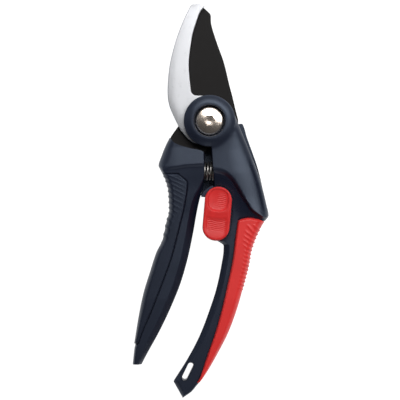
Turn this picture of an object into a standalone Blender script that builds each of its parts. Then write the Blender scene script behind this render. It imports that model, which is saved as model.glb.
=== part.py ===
"""Bypass pruning shears: an assembly of separate pieces, lying on their back.

+X is right, +Y is towards the blade tip and +Z is up, out of the front of the tool.
The origin is on the pivot axis, on the plane that the tool lies on. The hook half (the hook
blade and the right handle) is the fixed half. The cutting blade and the left handle turn about
the pivot, and the lock slider runs along the right handle.
Every size is in millimetres and becomes metres when a mesh is made.
"""

import math

import bmesh
import bpy
import numpy as np

MM = 0.001

# Overall sizes
HANDLE_REACH = 148.2    # pivot to the lowest point of the right handle
BLADE_REACH = 62.6      # pivot to the top of the hook

# Clearances
GAP = 0.3               # between pieces that touch
RUN_GAP = 0.35          # between a moving piece and its track

# Plates and layers, from the back up
NUT_CAP = 1.4           # closed end of the nut
NUT_LENGTH = 3.6
LOCK_WASHER_T = 0.8
BACK_FLOOR = 1.1        # shell wall between the spring washer and the cutting blade
BLADE_T = 3.0
HOOK_T = 3.0
FRONT_FLOOR = 1.2       # shell wall between the hook and the bolt's washer
BOLT_WASHER_T = 0.6
BOLT_HEAD_H = 2.9

BACK_FLOOR_Z = NUT_LENGTH + GAP + LOCK_WASHER_T + GAP
BLADE_Z = BACK_FLOOR_Z + BACK_FLOOR + GAP
SPLIT_LOW = BLADE_Z + BLADE_T
SPLIT_HIGH = SPLIT_LOW + GAP
SPLIT = SPLIT_LOW + GAP / 2
HOOK_TOP = SPLIT_HIGH + HOOK_T
BOSS_FLOOR = HOOK_TOP + GAP
WASHER_Z = BOSS_FLOOR + FRONT_FLOOR + GAP
HEAD_Z = WASHER_Z + BOLT_WASHER_T + GAP
BOSS_TOP = HEAD_Z + BOLT_HEAD_H + GAP

# Pivot
BOSS_R = 13.75
BOSS_FLAT_R = 10.6      # inside this radius the boss is flat, outside it slopes
BOSS_SLOPE = 1.8
BOLT_HEAD_R = 7.5
BOLT_R = 4.0
BUSHING_R = 6.0
NUT_FLATS = 12.0
HEX_FLATS = 5.5
HEX_DEPTH = 1.8
PLATE_HUB_R = 13.2
HEEL_R = 15.4           # heel of the cutting blade
HEEL_END = -25.0        # degrees, where the heel lobe stops
OPEN_ANGLE = 28.0       # degrees between closed and open
STOP_ANGLE = HEEL_END - OPEN_ANGLE - 3.0

# Handles, front side
HEAD_TOP = BOSS_TOP - 0.8
RECESS_TOP = BOSS_TOP - 2.6
STRIP_TOP = BOSS_TOP - 4.0
INNER_CHAMFER = 2.6     # slope along the inner edge of each handle
TAPER = 0.2             # share of the thickness lost towards the handle's end
SHELL_EDGE = 2.6        # height of the shell's straight wall above the split
GRIP_TOP = BOSS_TOP - 1.0
GRIP_WALL = 2.8
GRIP_STEP = 0.5         # how far the shell drops under the grip
# Handles, back side
HEAD_BACK = 0.5
STRIP_BACK = 2.4
GRIP_BACK = 0.0

# Coil spring, across the gap between the handles
SPRING_Y = -26.7
SPRING_R = 5.2
SPRING_WIRE = 1.2
SPRING_TURNS = 10
SPRING_POCKET_GAP = 0.35
RIGHT_POCKET_X = 9.2
LEFT_POCKET_X = -10.2
STUD_FLANGE = 0.8
STUD_LENGTH = 3.5

# Lock on the right handle
LOCK_X = 4.0
LOCK_Y = -49.5
LOCK_TILT = math.radians(5.0)
LOCK_TRAVEL = 7.0
LOCK_LENGTH = 28.8
LOCK_WIDTH = 14.4
LOCK_HEIGHT = 5.2
GUIDE_LENGTH = 27.0
GUIDE_WIDTH = 8.0
GUIDE_T = 1.2
GUIDE_SCREW_ALONG = -11.4
GUIDE_SCREW_R = 0.9
GUIDE_SCREW_HEAD_R = 1.5
GUIDE_SCREW_HEAD_H = 0.6
TONGUE_T = 1.6
TONGUE_WIDTH = 5.6
TONGUE_LOW = -2.5       # along the lock, from its middle
TONGUE_TOP = 14.8
TAB_LOW = 8.2           # lower edge of the tab that reaches the left handle
TAB_REACH = 9.2
STEM_LENGTH = 7.0
STEM_WIDTH = 2.8
STEM_SHIFT = 2.5        # the stem sits above the middle of the slider
GUIDE_TOP = STRIP_TOP + 0.2
GUIDE_Z = GUIDE_TOP - GUIDE_T
TONGUE_Z = GUIDE_Z - GAP - TONGUE_T
LOCK_FLOOR = TONGUE_Z - GAP
SLIDER_Z = GUIDE_TOP + GAP

# Screws that hold the shells, from the back
SCREW_R = 1.2
SCREW_HEAD_R = 2.2
SCREW_HEAD_H = 1.5
SCREW_SEAT = 5.0
SCREW_TIP = 13.0

# Where the handle's lower part starts to stretch with HANDLE_REACH, and the blade's upper part
# with BLADE_REACH. The outlines below are drawn for these reaches.
FIXED_DROP = 70.0
DRAWN_HANDLE = 148.2
FIXED_RISE = 20.0
DRAWN_BLADE = 62.6

# Edges of the handles: (distance below the pivot, x)
RIGHT_INNER = [(-5, 0), (9, 0.1), (15, 0.7), (23.5, 1.3), (33, 2.2), (38, 0), (45, -2.4),
               (58, -2.6), (61, -1.2), (63, 1.2), (64.2, 4.4), (66.8, 7.6), (70, 7.5),
               (76.5, 6.5), (89.3, 3.8), (102.1, -0.3), (115, -5.3), (127.8, -11.9),
               (139.6, -19.4), (147.9, -14.7)]
RIGHT_OUTER = [(-5, 12.8), (16, 21.3), (30.5, 26.8), (44.4, 30.4), (50.5, 31.6), (53.6, 29.5),
               (57.2, 27.2), (63.6, 24.3), (70, 22.2), (76.5, 21.1), (86.1, 18.7), (98.9, 15.2),
               (111.8, 10.6), (124.6, 4.2), (137.4, -3.5), (141.6, -7), (144.6, -9.5),
               (147.9, -14.2)]
RIGHT_REAR_STEP = [(1.3, 2.2), (2.6, 2.4), (9, 1.7), (20, 1.3), (33, 0.3), (40, 0), (150, 0)]
RIGHT_CREASE = [(24.7, 2.9), (26.4, 8.4), (29.4, 12.1), (35.3, 15.9), (41.4, 19.3), (47.4, 23.4),
                (50.5, 28.2)]
RIGHT_GRIP = [(53.6, 14.9), (60.4, 13.9), (73.2, 12.3), (86.1, 9.7), (98.9, 6.8), (111.8, 3.3),
              (124.6, -1.1), (137.4, -5.4), (140.5, -6.6)]
LEFT_INNER = [(7, -2.5), (16.8, -2.6), (23, -2.4), (30, -2.6), (36, -3.6), (41, -5.1),
              (47.6, -6.6), (60.4, -8.9), (73.2, -11.6), (86.1, -15.3), (98.9, -20.4),
              (111.8, -26.5), (124.6, -33.5), (130, -36.3)]
LEFT_OUTER = [(7, -20.5), (8.8, -21.3), (12.3, -23.1), (18.7, -25.7), (24, -27.3), (25.1, -26.8),
              (31.5, -23.6), (37.9, -22), (47.6, -21.6), (54, -23.1), (63.6, -25.2), (70, -28.4),
              (79.7, -31.6), (92.5, -35.5), (105.3, -38.1), (118.2, -40.1), (130, -41.1)]
LEFT_CREASE = [(22.8, -2.9), (23.1, -10.8), (24.1, -17.5), (25.2, -25)]
LEFT_GRIP = [(27.6, -17.2), (33.5, -11.4), (43.3, -12.6), (58.6, -16.2), (73, -20), (88, -25.4),
             (102.7, -31.2), (111.8, -35.2), (119.3, -38)]
COLLAR_EDGE = [(-24, -6.4), (-21.3, -8.8), (-18.2, -12), (-11.4, -14.4), (-5.9, -15.5),
               (-2.6, -16.8), (0, -18)]

# Handle screws: (x, distance below the pivot)
RIGHT_SCREWS = [(16.5, 22.0), (15.0, 47.0), (-2.4, 117.0)]
LEFT_SCREWS = [(-17.0, 20.5), (-9.9, 47.0), (-29.0, 108.0)]

# Lanyard slot in the right handle: (x, distance below the pivot) of its two ends
LANYARD_ENDS = [(-10.1, 130.6), (-13.3, 137.2)]
LANYARD_WIDTH = 3.0


# ---------------------------------------------------------------- numbers to curves

def drop_to_y(drop):
    """World y of a distance below the pivot, with the grip part stretched to the reach."""
    stretch = (HANDLE_REACH - FIXED_DROP) / (DRAWN_HANDLE - FIXED_DROP)
    return -np.where(drop > FIXED_DROP, FIXED_DROP + (drop - FIXED_DROP) * stretch, drop)


def rise_to_y(rise):
    """World y of a height above the pivot, with the blade stretched to its reach."""
    stretch = (BLADE_REACH - FIXED_RISE) / (DRAWN_BLADE - FIXED_RISE)
    return np.where(rise > FIXED_RISE, FIXED_RISE + (rise - FIXED_RISE) * stretch, rise)


def smooth(table, where):
    """Cubic through the table's points that never overshoots them."""
    keys, values = np.array(table, float).T
    where = np.clip(np.asarray(where, float), keys[0], keys[-1])
    slopes = np.diff(values) / np.diff(keys)
    product = slopes[:-1] * slopes[1:]
    total = slopes[:-1] + slopes[1:]
    inner = np.where(product > 0, 2 * product / np.where(total == 0, 1, total), 0)
    tangents = np.concatenate(([slopes[0]], inner, [slopes[-1]]))
    i = np.clip(np.searchsorted(keys, where, side="right") - 1, 0, len(keys) - 2)
    span = keys[i + 1] - keys[i]
    t = (where - keys[i]) / span
    rise = values[i + 1] - values[i]
    bend_in = span * tangents[i]
    bend_out = span * tangents[i + 1]
    return values[i] + t * bend_in + t**2 * (3 * rise - 2 * bend_in - bend_out) \
        + t**3 * (bend_in + bend_out - 2 * rise)


def arc(radius, start, end, steps, centre=(0.0, 0.0)):
    """Points along an arc, angles in degrees."""
    angles = np.radians(np.linspace(start, end, steps))
    return [(centre[0] + radius * math.cos(a), centre[1] + radius * math.sin(a)) for a in angles]


def spline(points, steps):
    """Smooth line through a few points, steps points per stretch (Catmull-Rom)."""
    p = np.array(points, float)
    ends = np.vstack((2 * p[0] - p[1], p, 2 * p[-1] - p[-2]))
    line = []
    for a, b, c, d in zip(ends[:-3], ends[1:-2], ends[2:-1], ends[3:]):
        for t in np.linspace(0, 1, steps, endpoint=False):
            line.append(0.5 * (2 * b + (c - a) * t + (2 * a - 5 * b + 4 * c - d) * t**2
                               + (3 * b - a - 3 * c + d) * t**3))
    line.append(p[-1])
    return [tuple(point) for point in line]


def grown(outline, distance):
    """The outline moved outwards by a distance."""
    p = np.array(outline, float)
    if signed_area(p) < 0:
        p = p[::-1]
    before = p - np.roll(p, 1, axis=0)
    after = np.roll(p, -1, axis=0) - p
    before /= np.linalg.norm(before, axis=1)[:, None]
    after /= np.linalg.norm(after, axis=1)[:, None]
    normal = np.stack((before[:, 1] + after[:, 1], -before[:, 0] - after[:, 0]), axis=1)
    normal /= np.linalg.norm(normal, axis=1)[:, None]
    facing = np.stack((after[:, 1], -after[:, 0]), axis=1)
    mitre = np.clip(np.sum(normal * facing, axis=1), 0.6, 1)
    return p + normal * (distance / mitre)[:, None]


def signed_area(p):
    x, y = p[:, 0], p[:, 1]
    return 0.5 * float(np.sum(x * np.roll(y, -1) - np.roll(x, -1) * y))


def stadium(length, width, steps=9):
    """Outline of a slot that stands along y, centred on the origin."""
    r = width / 2
    half = length / 2 - r
    return arc(r, 0, 180, steps, (0, half)) + arc(r, 180, 360, steps, (0, -half))


def on_lock(points, along=0.0):
    """Points in the lock's own frame, y along its travel, moved to their place."""
    c, s = math.cos(LOCK_TILT), math.sin(LOCK_TILT)
    placed = []
    for x, y in points:
        y = y + along
        placed.append((LOCK_X + c * x + s * y, LOCK_Y - s * x + c * y))
    return placed


# ---------------------------------------------------------------- meshes

def add_object(name, verts, faces, material=None, smooth_angle=None):
    mesh = bpy.data.meshes.new(name)
    mesh.from_pydata([tuple(v) for v in np.asarray(verts, float) * MM], [], faces)
    bm = bmesh.new()
    bm.from_mesh(mesh)
    bmesh.ops.recalc_face_normals(bm, faces=bm.faces)
    bm.to_mesh(mesh)
    bm.free()
    if smooth_angle:
        mesh.shade_smooth()
        mesh.set_sharp_from_angle(angle=math.radians(smooth_angle))
    obj = bpy.data.objects.new(name, mesh)
    bpy.context.scene.collection.objects.link(obj)
    if material:
        mesh.materials.append(material)
    return obj


def loft(name, rings, material=None, closed=False, smooth_angle=30):
    """Body carried through a row of rings; closed joins the last ring to the first."""
    rings = np.asarray(rings, float)
    count, width = rings.shape[:2]
    faces = []
    for k in range(count if closed else count - 1):
        here = k * width
        there = (k + 1) % count * width
        for j in range(width):
            n = (j + 1) % width
            faces.append((here + j, here + n, there + n, there + j))
    if not closed:
        faces.append(tuple(range(width)))
        faces.append(tuple((count - 1) * width + j for j in reversed(range(width))))
    return add_object(name, rings.reshape(-1, 3), faces, material, smooth_angle)


def prism(name, outline, low, high, material=None):
    """Upright body with the outline as its plan."""
    outline = np.asarray(outline, float)
    rings = [np.column_stack((outline, np.full(len(outline), z))) for z in (low, high)]
    return loft(name, rings, material)


def turned(name, profile, centre, axis, material=None, bored=False, steps=32):
    """Body of revolution: profile holds (radius, distance along the axis)."""
    angles = np.linspace(0, 2 * math.pi, steps, endpoint=False)
    rings = []
    for radius, along in profile:
        u, v = radius * np.cos(angles), radius * np.sin(angles)
        w = np.full(steps, along)
        ring = (u, v, w) if axis == "z" else (w, u, v)
        rings.append(np.column_stack(ring) + np.array(centre))
    return loft(name, rings, material, closed=bored)


def cylinder(name, x, y, radius, low, high, steps=20):
    return turned(name, [(radius, low), (radius, high)], (x, y, 0), "z", steps=steps)


def hexagon(flats):
    return arc(flats / 2 / math.cos(math.radians(30)), 0, 300, 6)


def combine(target, tool, operation):
    """Boolean of a tool body with the target; the tool itself is only a guide."""
    tool.hide_render = True
    tool.display_type = "WIRE"
    modifier = target.modifiers.new(tool.name, "BOOLEAN")
    modifier.operation = operation
    modifier.solver = "EXACT"
    modifier.object = tool


def cut(target, *tools):
    for tool in tools:
        combine(target, tool, "DIFFERENCE")


def join(target, *tools):
    for tool in tools:
        combine(target, tool, "UNION")


def soften(obj, width, angle=40):
    bevel = obj.modifiers.new("edges", "BEVEL")
    bevel.width = width * MM
    bevel.segments = 1
    bevel.limit_method = "ANGLE"
    bevel.angle_limit = math.radians(angle)


def material(name, color, roughness, metallic=0.0):
    made = bpy.data.materials.new(name)
    made.use_nodes = True
    shader = made.node_tree.nodes["Principled BSDF"]
    shader.inputs["Base Color"].default_value = (*color, 1)
    shader.inputs["Roughness"].default_value = roughness
    shader.inputs["Metallic"].default_value = metallic
    return made


def navy(name):
    return material(name, (0.022, 0.028, 0.048), 0.45)


def steel(name):
    return material(name, (0.62, 0.63, 0.66), 0.3, 1.0)


# ---------------------------------------------------------------- plates

def hook_outline():
    """Hook: rounded tip, crescent, ledge beside the boss, hub and a tang to the lower right."""
    outer = spline([(-9.4, 61.6), (-14.3, 52), (-18, 42.3), (-20.9, 29.5), (-22.3, 16.5),
                    (-21.4, 8.5), (-18.3, 0.6), (-16.4, -3), (-13.6, -7.2), (-9.5, -11.1),
                    (-3.8, -13.6)], 4)
    tang = spline([(2.5, -14.3), (9.5, -16.6), (12, -21), (12, -34), (10.9, -44)], 3)
    tang += arc(4, 180, 360, 9, (14.9, -54)) + [(18.9, -44)]
    tang += spline([(20.5, -34), (20.8, -21), (18, -11.5), (12.6, -4)], 3)
    hub = arc(PLATE_HUB_R, 0, 88, 12)
    inner = [(-3, 13.6)] + arc(3, 270, 180, 6, (-7, 16.7))
    inner += spline([(-10.6, 22), (-11.1, 29.5), (-10.7, 35.9), (-9.3, 45.5), (-7.5, 51.9),
                     (-5.1, 58.4), (-2.9, 60.8)], 3)
    tip = [(-3.3, 62.3), (-4.4, 62.6), (-7.2, 62.6), (-8.6, 62.3)]
    plan = np.array(outer + tang + hub + inner + tip)
    plan[:, 1] = rise_to_y(plan[:, 1])
    return plan


def blade_outline():
    """Cutting blade: convex edge, point, back, heel lobe and a tang to the lower left."""
    edge = spline([(-14.2, 3.5), (-13.4, 12), (-13.9, 20), (-14.1, 28), (-13.3, 36), (-11.7, 44),
                   (-9.4, 51), (-6.6, 57), (-3.1, 60.9)], 3)
    back = spline([(-2.5, 60.8), (-0.2, 58.4), (0.9, 51.9), (2.5, 45.5), (4.9, 39.1),
                   (7.4, 32.7), (9.1, 26.3), (10.6, 19.8), (12.3, 13.4), (13.8, 7)], 3)
    heel = arc(HEEL_R, 3, HEEL_END, 6)
    hub = arc(PLATE_HUB_R, HEEL_END - 8, -118, 10)
    tang = spline([(-9.5, -14.8), (-11.6, -20), (-11.7, -33), (-8.6, -40), (-7.8, -47)], 3)
    tang += arc(3.7, 0, -180, 9, (-11.5, -49.5))
    tang += spline([(-15.6, -44), (-17.4, -34), (-20.8, -24), (-22.6, -16), (-21.2, -9.3),
                    (-16.9, -2.8)], 3)
    plan = np.array(edge + back + heel + hub + tang)
    plan[:, 1] = rise_to_y(plan[:, 1])
    return plan


def make_plates():
    hook = prism("hook_blade", hook_outline(), SPLIT_HIGH, HOOK_TOP, steel("satin steel"))
    soften(hook, 0.35)
    blade_black = material("coated steel", (0.02, 0.019, 0.021), 0.38, 0.4)
    blade = prism("cutting_blade", blade_outline(), BLADE_Z, SPLIT_LOW, blade_black)
    soften(blade, 0.3)
    hole = cylinder("plate_hole", 0, 0, BUSHING_R + GAP, 0, BOSS_TOP, 32)
    cut(hook, hole)
    cut(blade, hole)
    for x, drop in RIGHT_SCREWS[:2]:
        cut(hook, screw_bore(x, drop))
    for x, drop in LEFT_SCREWS[:2]:
        cut(blade, screw_bore(x, drop))


# ---------------------------------------------------------------- pivot

def make_pivot():
    chrome = material("bolt chrome", (0.75, 0.73, 0.72), 0.12, 1.0)
    shank_end = NUT_CAP + GAP
    dome = [(BOLT_HEAD_R * math.cos(a), HEAD_Z + 1.2 + (BOLT_HEAD_H - 1.2) * math.sin(a))
            for a in np.radians([0, 20, 40, 60])]
    profile = [(BOLT_R, shank_end), (BOLT_R, HEAD_Z), (BOLT_HEAD_R, HEAD_Z)] + dome
    bolt = turned("pivot_bolt", profile, (0, 0, 0), "z", chrome, steps=40)
    socket = prism("bolt_socket", hexagon(HEX_FLATS), BOSS_TOP - GAP - HEX_DEPTH, BOSS_TOP + 1)
    cut(bolt, socket)

    nut = prism("pivot_nut", hexagon(NUT_FLATS), 0, NUT_LENGTH, steel("zinc nut"))
    soften(nut, 0.3)
    cut(nut, cylinder("nut_thread", 0, 0, BOLT_R + GAP, NUT_CAP, NUT_LENGTH + 1, 32))

    def ring(name, inner, outer, low, high, finish):
        section = [(inner, low), (outer, low), (outer, high), (inner, high)]
        return turned(name, section, (0, 0, 0), "z", finish, bored=True)

    washer_low = NUT_LENGTH + GAP
    ring("spring_washer", BOLT_R + GAP, NUT_FLATS / 2 - 0.2, washer_low,
         washer_low + LOCK_WASHER_T, steel("spring steel"))
    ring("bolt_washer", BOLT_R + GAP, BOLT_HEAD_R - 0.4, WASHER_Z, WASHER_Z + BOLT_WASHER_T,
         steel("washer steel"))
    ring("pivot_bushing", BOLT_R + GAP, BUSHING_R, BLADE_Z, WASHER_Z - GAP,
         material("bronze bushing", (0.45, 0.27, 0.12), 0.35, 1.0))


# ---------------------------------------------------------------- handles

def rows(start, end, extra):
    """Distances below the pivot of a handle's sections, evenly spread and at its corners."""
    spread = [s for s in np.linspace(start, end, 26)[1:-1] if all(abs(s - e) > 0.9 for e in extra)]
    return np.array(sorted([start, end] + spread + list(extra)))


def section(x, z, drop):
    """One ring of a handle body, at its distance below the pivot."""
    y = np.full(len(x), float(drop_to_y(drop)))
    return np.column_stack((x, y, z))


def taper(drop):
    """Share of the full thickness that a handle has at a section, less towards its end."""
    return 1 - TAPER * smooth([(95, 0), (148, 1)], drop)


def shell_ring(drop, inner, outer, crease, high, low, grip_x):
    """Half shell from the split outwards: inner wall, strip, crease, top, rounded outer side.

    high and low are heights from the split. Where the grip covers the shell, grip_x is its
    border and the shell steps in under it. The inner corner is square beside the spring.
    """
    way = 1.0 if outer > inner else -1.0
    width = abs(outer - inner)
    reach = abs((crease if grip_x is None else grip_x) - inner)
    corner = float(smooth([(33, 0.4), (43, INNER_CHAMFER)], drop))
    chamfer = min(corner, 0.45 * reach + 0.2, 0.3 * width)
    ramp = min(0.6, 0.2 * width)
    step = min(max(reach - ramp, chamfer + 0.1), 0.7 * width)
    if grip_x is not None:
        outer = outer - way * min(GRIP_WALL, 0.45 * abs(outer - grip_x))
    strip = inner + way * chamfer
    step = inner + way * step
    top = step + way * ramp
    left = abs(outer - top)
    first = low if crease != inner else high
    x = [inner, inner, strip, step, top, outer - way * min(4.0, 0.5 * left),
         outer - way * min(1.2, 0.2 * left), outer, outer]
    wall = min(SHELL_EDGE, first - 0.6)
    z = [0, wall, first, first, high, high, 0.35 * wall + 0.65 * high, wall, 0]
    return np.array(x), np.array(z) * taper(drop)


def right_ring(front, drop):
    """Plan and heights of one section of the right handle's front or back shell."""
    inner = float(smooth(RIGHT_INNER, drop))
    outer = float(smooth(RIGHT_OUTER, drop))
    if front:
        head, recess, strip = HEAD_TOP, RECESS_TOP, STRIP_TOP
        under = STRIP_TOP - GRIP_STEP
    else:
        outer += float(smooth(RIGHT_REAR_STEP, drop))
        head, recess, strip = HEAD_BACK, HEAD_BACK, STRIP_BACK
        under = STRIP_BACK + GRIP_STEP
    base = SPLIT_HIGH if front else SPLIT_LOW
    grip_x = None
    high = low = strip
    if drop < RIGHT_GRIP[0][0]:
        crease = float(smooth(RIGHT_CREASE, drop)) if drop > RIGHT_CREASE[0][0] else inner
        if drop <= RIGHT_CREASE[-1][0]:
            high = head
            low = recess if drop < 31 else strip
    else:
        crease = float(smooth(RIGHT_GRIP, drop))
        if drop < RIGHT_GRIP[-1][0]:
            grip_x = crease
            high = under
    return shell_ring(drop, inner, outer, crease, abs(high - base), abs(low - base), grip_x)


def left_ring(front, drop):
    """Plan and heights of one section of the left handle's front or back shell."""
    inner = float(smooth(LEFT_INNER, drop))
    outer = float(smooth(LEFT_OUTER, drop))
    if front:
        head, recess, under = HEAD_TOP, RECESS_TOP, STRIP_TOP - GRIP_STEP
    else:
        head, recess, under = HEAD_BACK, STRIP_BACK, STRIP_BACK + GRIP_STEP
    base = SPLIT_HIGH if front else SPLIT_LOW
    grip_x = None
    high, low = head, recess
    if drop < LEFT_GRIP[0][0]:
        crease = float(smooth(LEFT_CREASE, drop)) if drop > LEFT_CREASE[0][0] else inner
        if drop > LEFT_CREASE[-1][0]:
            high = recess
    else:
        crease = float(smooth(LEFT_GRIP, drop))
        high = recess
        if drop < LEFT_GRIP[-1][0]:
            grip_x = crease
            high = under
    return shell_ring(drop, inner, outer, crease, abs(high - base), abs(low - base), grip_x)


RIGHT_CORNERS = [24.6, 24.8, 30.9, 34.5, 38, 45, 50.5, 50.8, 53.3, 53.7, 58, 61, 63, 64.2, 65.4,
                 66.8, 139.6, 140.4, 140.7, 144.6]
LEFT_CORNERS = [22.7, 22.9, 23.1, 24.1, 25.2, 25.5, 27.3, 27.7, 33.5, 38, 47.6, 119.1, 119.6]


def half_shell(name, side, front):
    ring, drops = SIDES[side]
    start = drops[0] if front else drops[1]
    base, way = (SPLIT_HIGH, 1) if front else (SPLIT_LOW, -1)
    rings = []
    for drop in rows(start, drops[2], drops[3]):
        x, z = ring(front, drop)
        rings.append(section(x, base + way * z, drop))
    return loft(name, rings, navy(name + " plastic"))


# Each handle: its ring function, and where the front shell and the back shell start, where both
# end, and the sections at their corners
SIDES = {"right": (right_ring, (-5, 1.3, 147.9, RIGHT_CORNERS)),
         "left": (left_ring, (7, 7, 130, LEFT_CORNERS))}


def grip_sleeve(name, side, edges, grip, start, end, finish):
    """Soft grip: a sleeve open towards the inner side, round the handle's outer side."""
    ring, drops = SIDES[side]
    stations = rows(drops[0], drops[2], drops[3])
    stations = [start] + [s for s in stations if start + 0.4 < s < end - 0.4] + [end]
    rings = []
    for drop in stations:
        outer = float(smooth(edges, drop))
        border = float(smooth(grip, drop))
        way = 1.0 if outer > border else -1.0
        full = abs(outer - border)
        front_x, front_z = ring(True, drop)
        back_x, back_z = ring(False, drop)
        gap = way * GAP
        inside = list(zip(front_x[4:8] + gap, SPLIT_HIGH + front_z[4:8] + GAP))
        inside += reversed(list(zip(back_x[4:8] + gap, SPLIT_LOW - back_z[4:8] - GAP)))
        border += gap
        curve = min(4.0, 0.4 * full)
        lead = way * min(1.0, 0.15 * full)
        back = SPLIT - (SPLIT - GRIP_BACK) * taper(drop)
        face = SPLIT + (GRIP_TOP - SPLIT) * taper(drop)
        outside = [(border, back + 0.7), (border + lead, back), (outer - way * curve, back),
                   (outer - way * 0.3 * curve, back + 2.4), (outer, SPLIT - 2.2),
                   (outer, SPLIT + 2.2), (outer - way * 0.3 * curve, face - 2.4),
                   (outer - way * curve, face), (border + lead, face), (border, face - 0.7)]
        x, z = np.array(inside + outside).T
        rings.append(section(x, z, drop))
    return loft(name, rings, finish)


def screw_bore(x, drop):
    y = float(drop_to_y(drop))
    return cylinder("screw_bore", x, y, SCREW_R + GAP, -1, SCREW_TIP + GAP, 16)


def screw_seat(x, drop):
    y = float(drop_to_y(drop))
    return cylinder("screw_seat", x, y, SCREW_HEAD_R + GAP, -1, SCREW_SEAT, 20)


def make_screws(side, places):
    for number, (x, drop) in enumerate(places, 1):
        y = float(drop_to_y(drop))
        head_low = SCREW_SEAT - GAP - SCREW_HEAD_H
        profile = [(SCREW_HEAD_R - 0.5, head_low), (SCREW_HEAD_R, head_low + 0.5),
                   (SCREW_HEAD_R, SCREW_SEAT - GAP), (SCREW_R, SCREW_SEAT - GAP),
                   (SCREW_R, SCREW_TIP)]
        name = f"{side}_handle_screw_{number}"
        screw = turned(name, profile, (x, y, 0), "z", steel(name + " steel"), steps=16)
        drive = prism("screw_drive", [(x + 1.1 * u, y + 1.1 * v) for u, v in arc(1, 0, 300, 6)],
                      head_low - 1, head_low + 0.9)
        cut(screw, drive)


def lanyard_cut():
    (x0, d0), (x1, d1) = LANYARD_ENDS
    start = np.array((x0, float(drop_to_y(d0))))
    end = np.array((x1, float(drop_to_y(d1))))
    heading = math.degrees(math.atan2(*(end - start)[::-1]))
    r = LANYARD_WIDTH / 2
    outline = arc(r, heading + 90, heading + 270, 9, start)
    outline += arc(r, heading - 90, heading + 90, 9, end)
    return prism("lanyard_slot", outline, -2, BOSS_TOP + 2)


def spring_pocket(name, bottom, mouth):
    radius = SPRING_R + SPRING_POCKET_GAP
    return turned(name, [(radius, bottom), (radius, mouth)], (0, SPRING_Y, SPLIT), "x", steps=24)


def make_right_handle():
    front = half_shell("right_handle_front", "right", True)
    slope_top = BOSS_TOP - BOSS_SLOPE
    boss = turned("boss_front", [(BOSS_R, BOSS_FLOOR), (BOSS_R, slope_top),
                                 (BOSS_FLAT_R, BOSS_TOP)], (0, 0, 0), "z", steps=48)
    join(front, boss)
    hub_room = cylinder("hub_room", 0, 0, BOSS_R + 1.5, SPLIT, BOSS_FLOOR, 48)
    tang_room = prism("hook_room", grown(hook_outline(), GAP), SPLIT, BOSS_FLOOR)
    counterbore = cylinder("head_room", 0, 0, BOLT_HEAD_R + 0.5, WASHER_Z - GAP, BOSS_TOP + 1, 40)
    bore = cylinder("front_bore", 0, 0, BUSHING_R + GAP, SPLIT, BOSS_TOP, 32)
    cut(front, hub_room, tang_room, counterbore, bore)

    back = half_shell("right_handle_back", "right", False)
    base = turned("boss_back", [(BOSS_R - 0.8, 0), (BOSS_R, 0.8), (BOSS_R, BLADE_Z - GAP)],
                  (0, 0, 0), "z", steps=48)
    join(back, base)
    sweep = arc(HEEL_R + 0.8, STOP_ANGLE, 75, 20)
    sweep += arc(PLATE_HUB_R + 0.8, 90, 360 + STOP_ANGLE - 2, 24)
    blade_room = prism("blade_room", sweep, BLADE_Z - GAP, SPLIT)
    nut_room = prism("nut_room", grown(hexagon(NUT_FLATS), GAP), -1, BACK_FLOOR_Z - GAP)
    back_bore = cylinder("back_bore", 0, 0, BOLT_R + 2 * GAP, -1, SPLIT, 32)
    cut(back, blade_room, nut_room, back_bore)

    slot = lanyard_cut()
    pocket = spring_pocket("right_spring_room", RIGHT_POCKET_X, -1)
    for shell in (front, back):
        cut(shell, slot, pocket)
    for x, drop in RIGHT_SCREWS:
        bore = screw_bore(x, drop)
        cut(front, bore)
        cut(back, bore, screw_seat(x, drop))
    cut_lock_room(front)
    grip_sleeve("right_grip", "right", RIGHT_OUTER, RIGHT_GRIP, 53.9, 139.8,
                material("red rubber", (0.55, 0.03, 0.03), 0.5))
    make_screws("right", RIGHT_SCREWS)


def make_left_handle():
    front = half_shell("left_handle_front", "left", True)
    back = half_shell("left_handle_back", "left", False)
    edge = spline(COLLAR_EDGE, 4)
    trim = prism("collar_trim", edge + [(2, 5), (-30, 5)], -2, BOSS_TOP + 2)
    pocket = spring_pocket("left_spring_room", LEFT_POCKET_X, 1)
    tang_room = prism("blade_tang_room", grown(blade_outline(), GAP), BLADE_Z - GAP, SPLIT)
    for shell in (front, back):
        cut(shell, trim, pocket)
    cut(back, tang_room)
    for x, drop in LEFT_SCREWS:
        bore = screw_bore(x, drop)
        cut(front, bore)
        cut(back, bore, screw_seat(x, drop))
    grip_sleeve("left_grip", "left", LEFT_OUTER, LEFT_GRIP, 28.0, 118.8,
                material("black rubber", (0.03, 0.036, 0.055), 0.6))
    make_screws("left", LEFT_SCREWS)


# ---------------------------------------------------------------- spring

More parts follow.
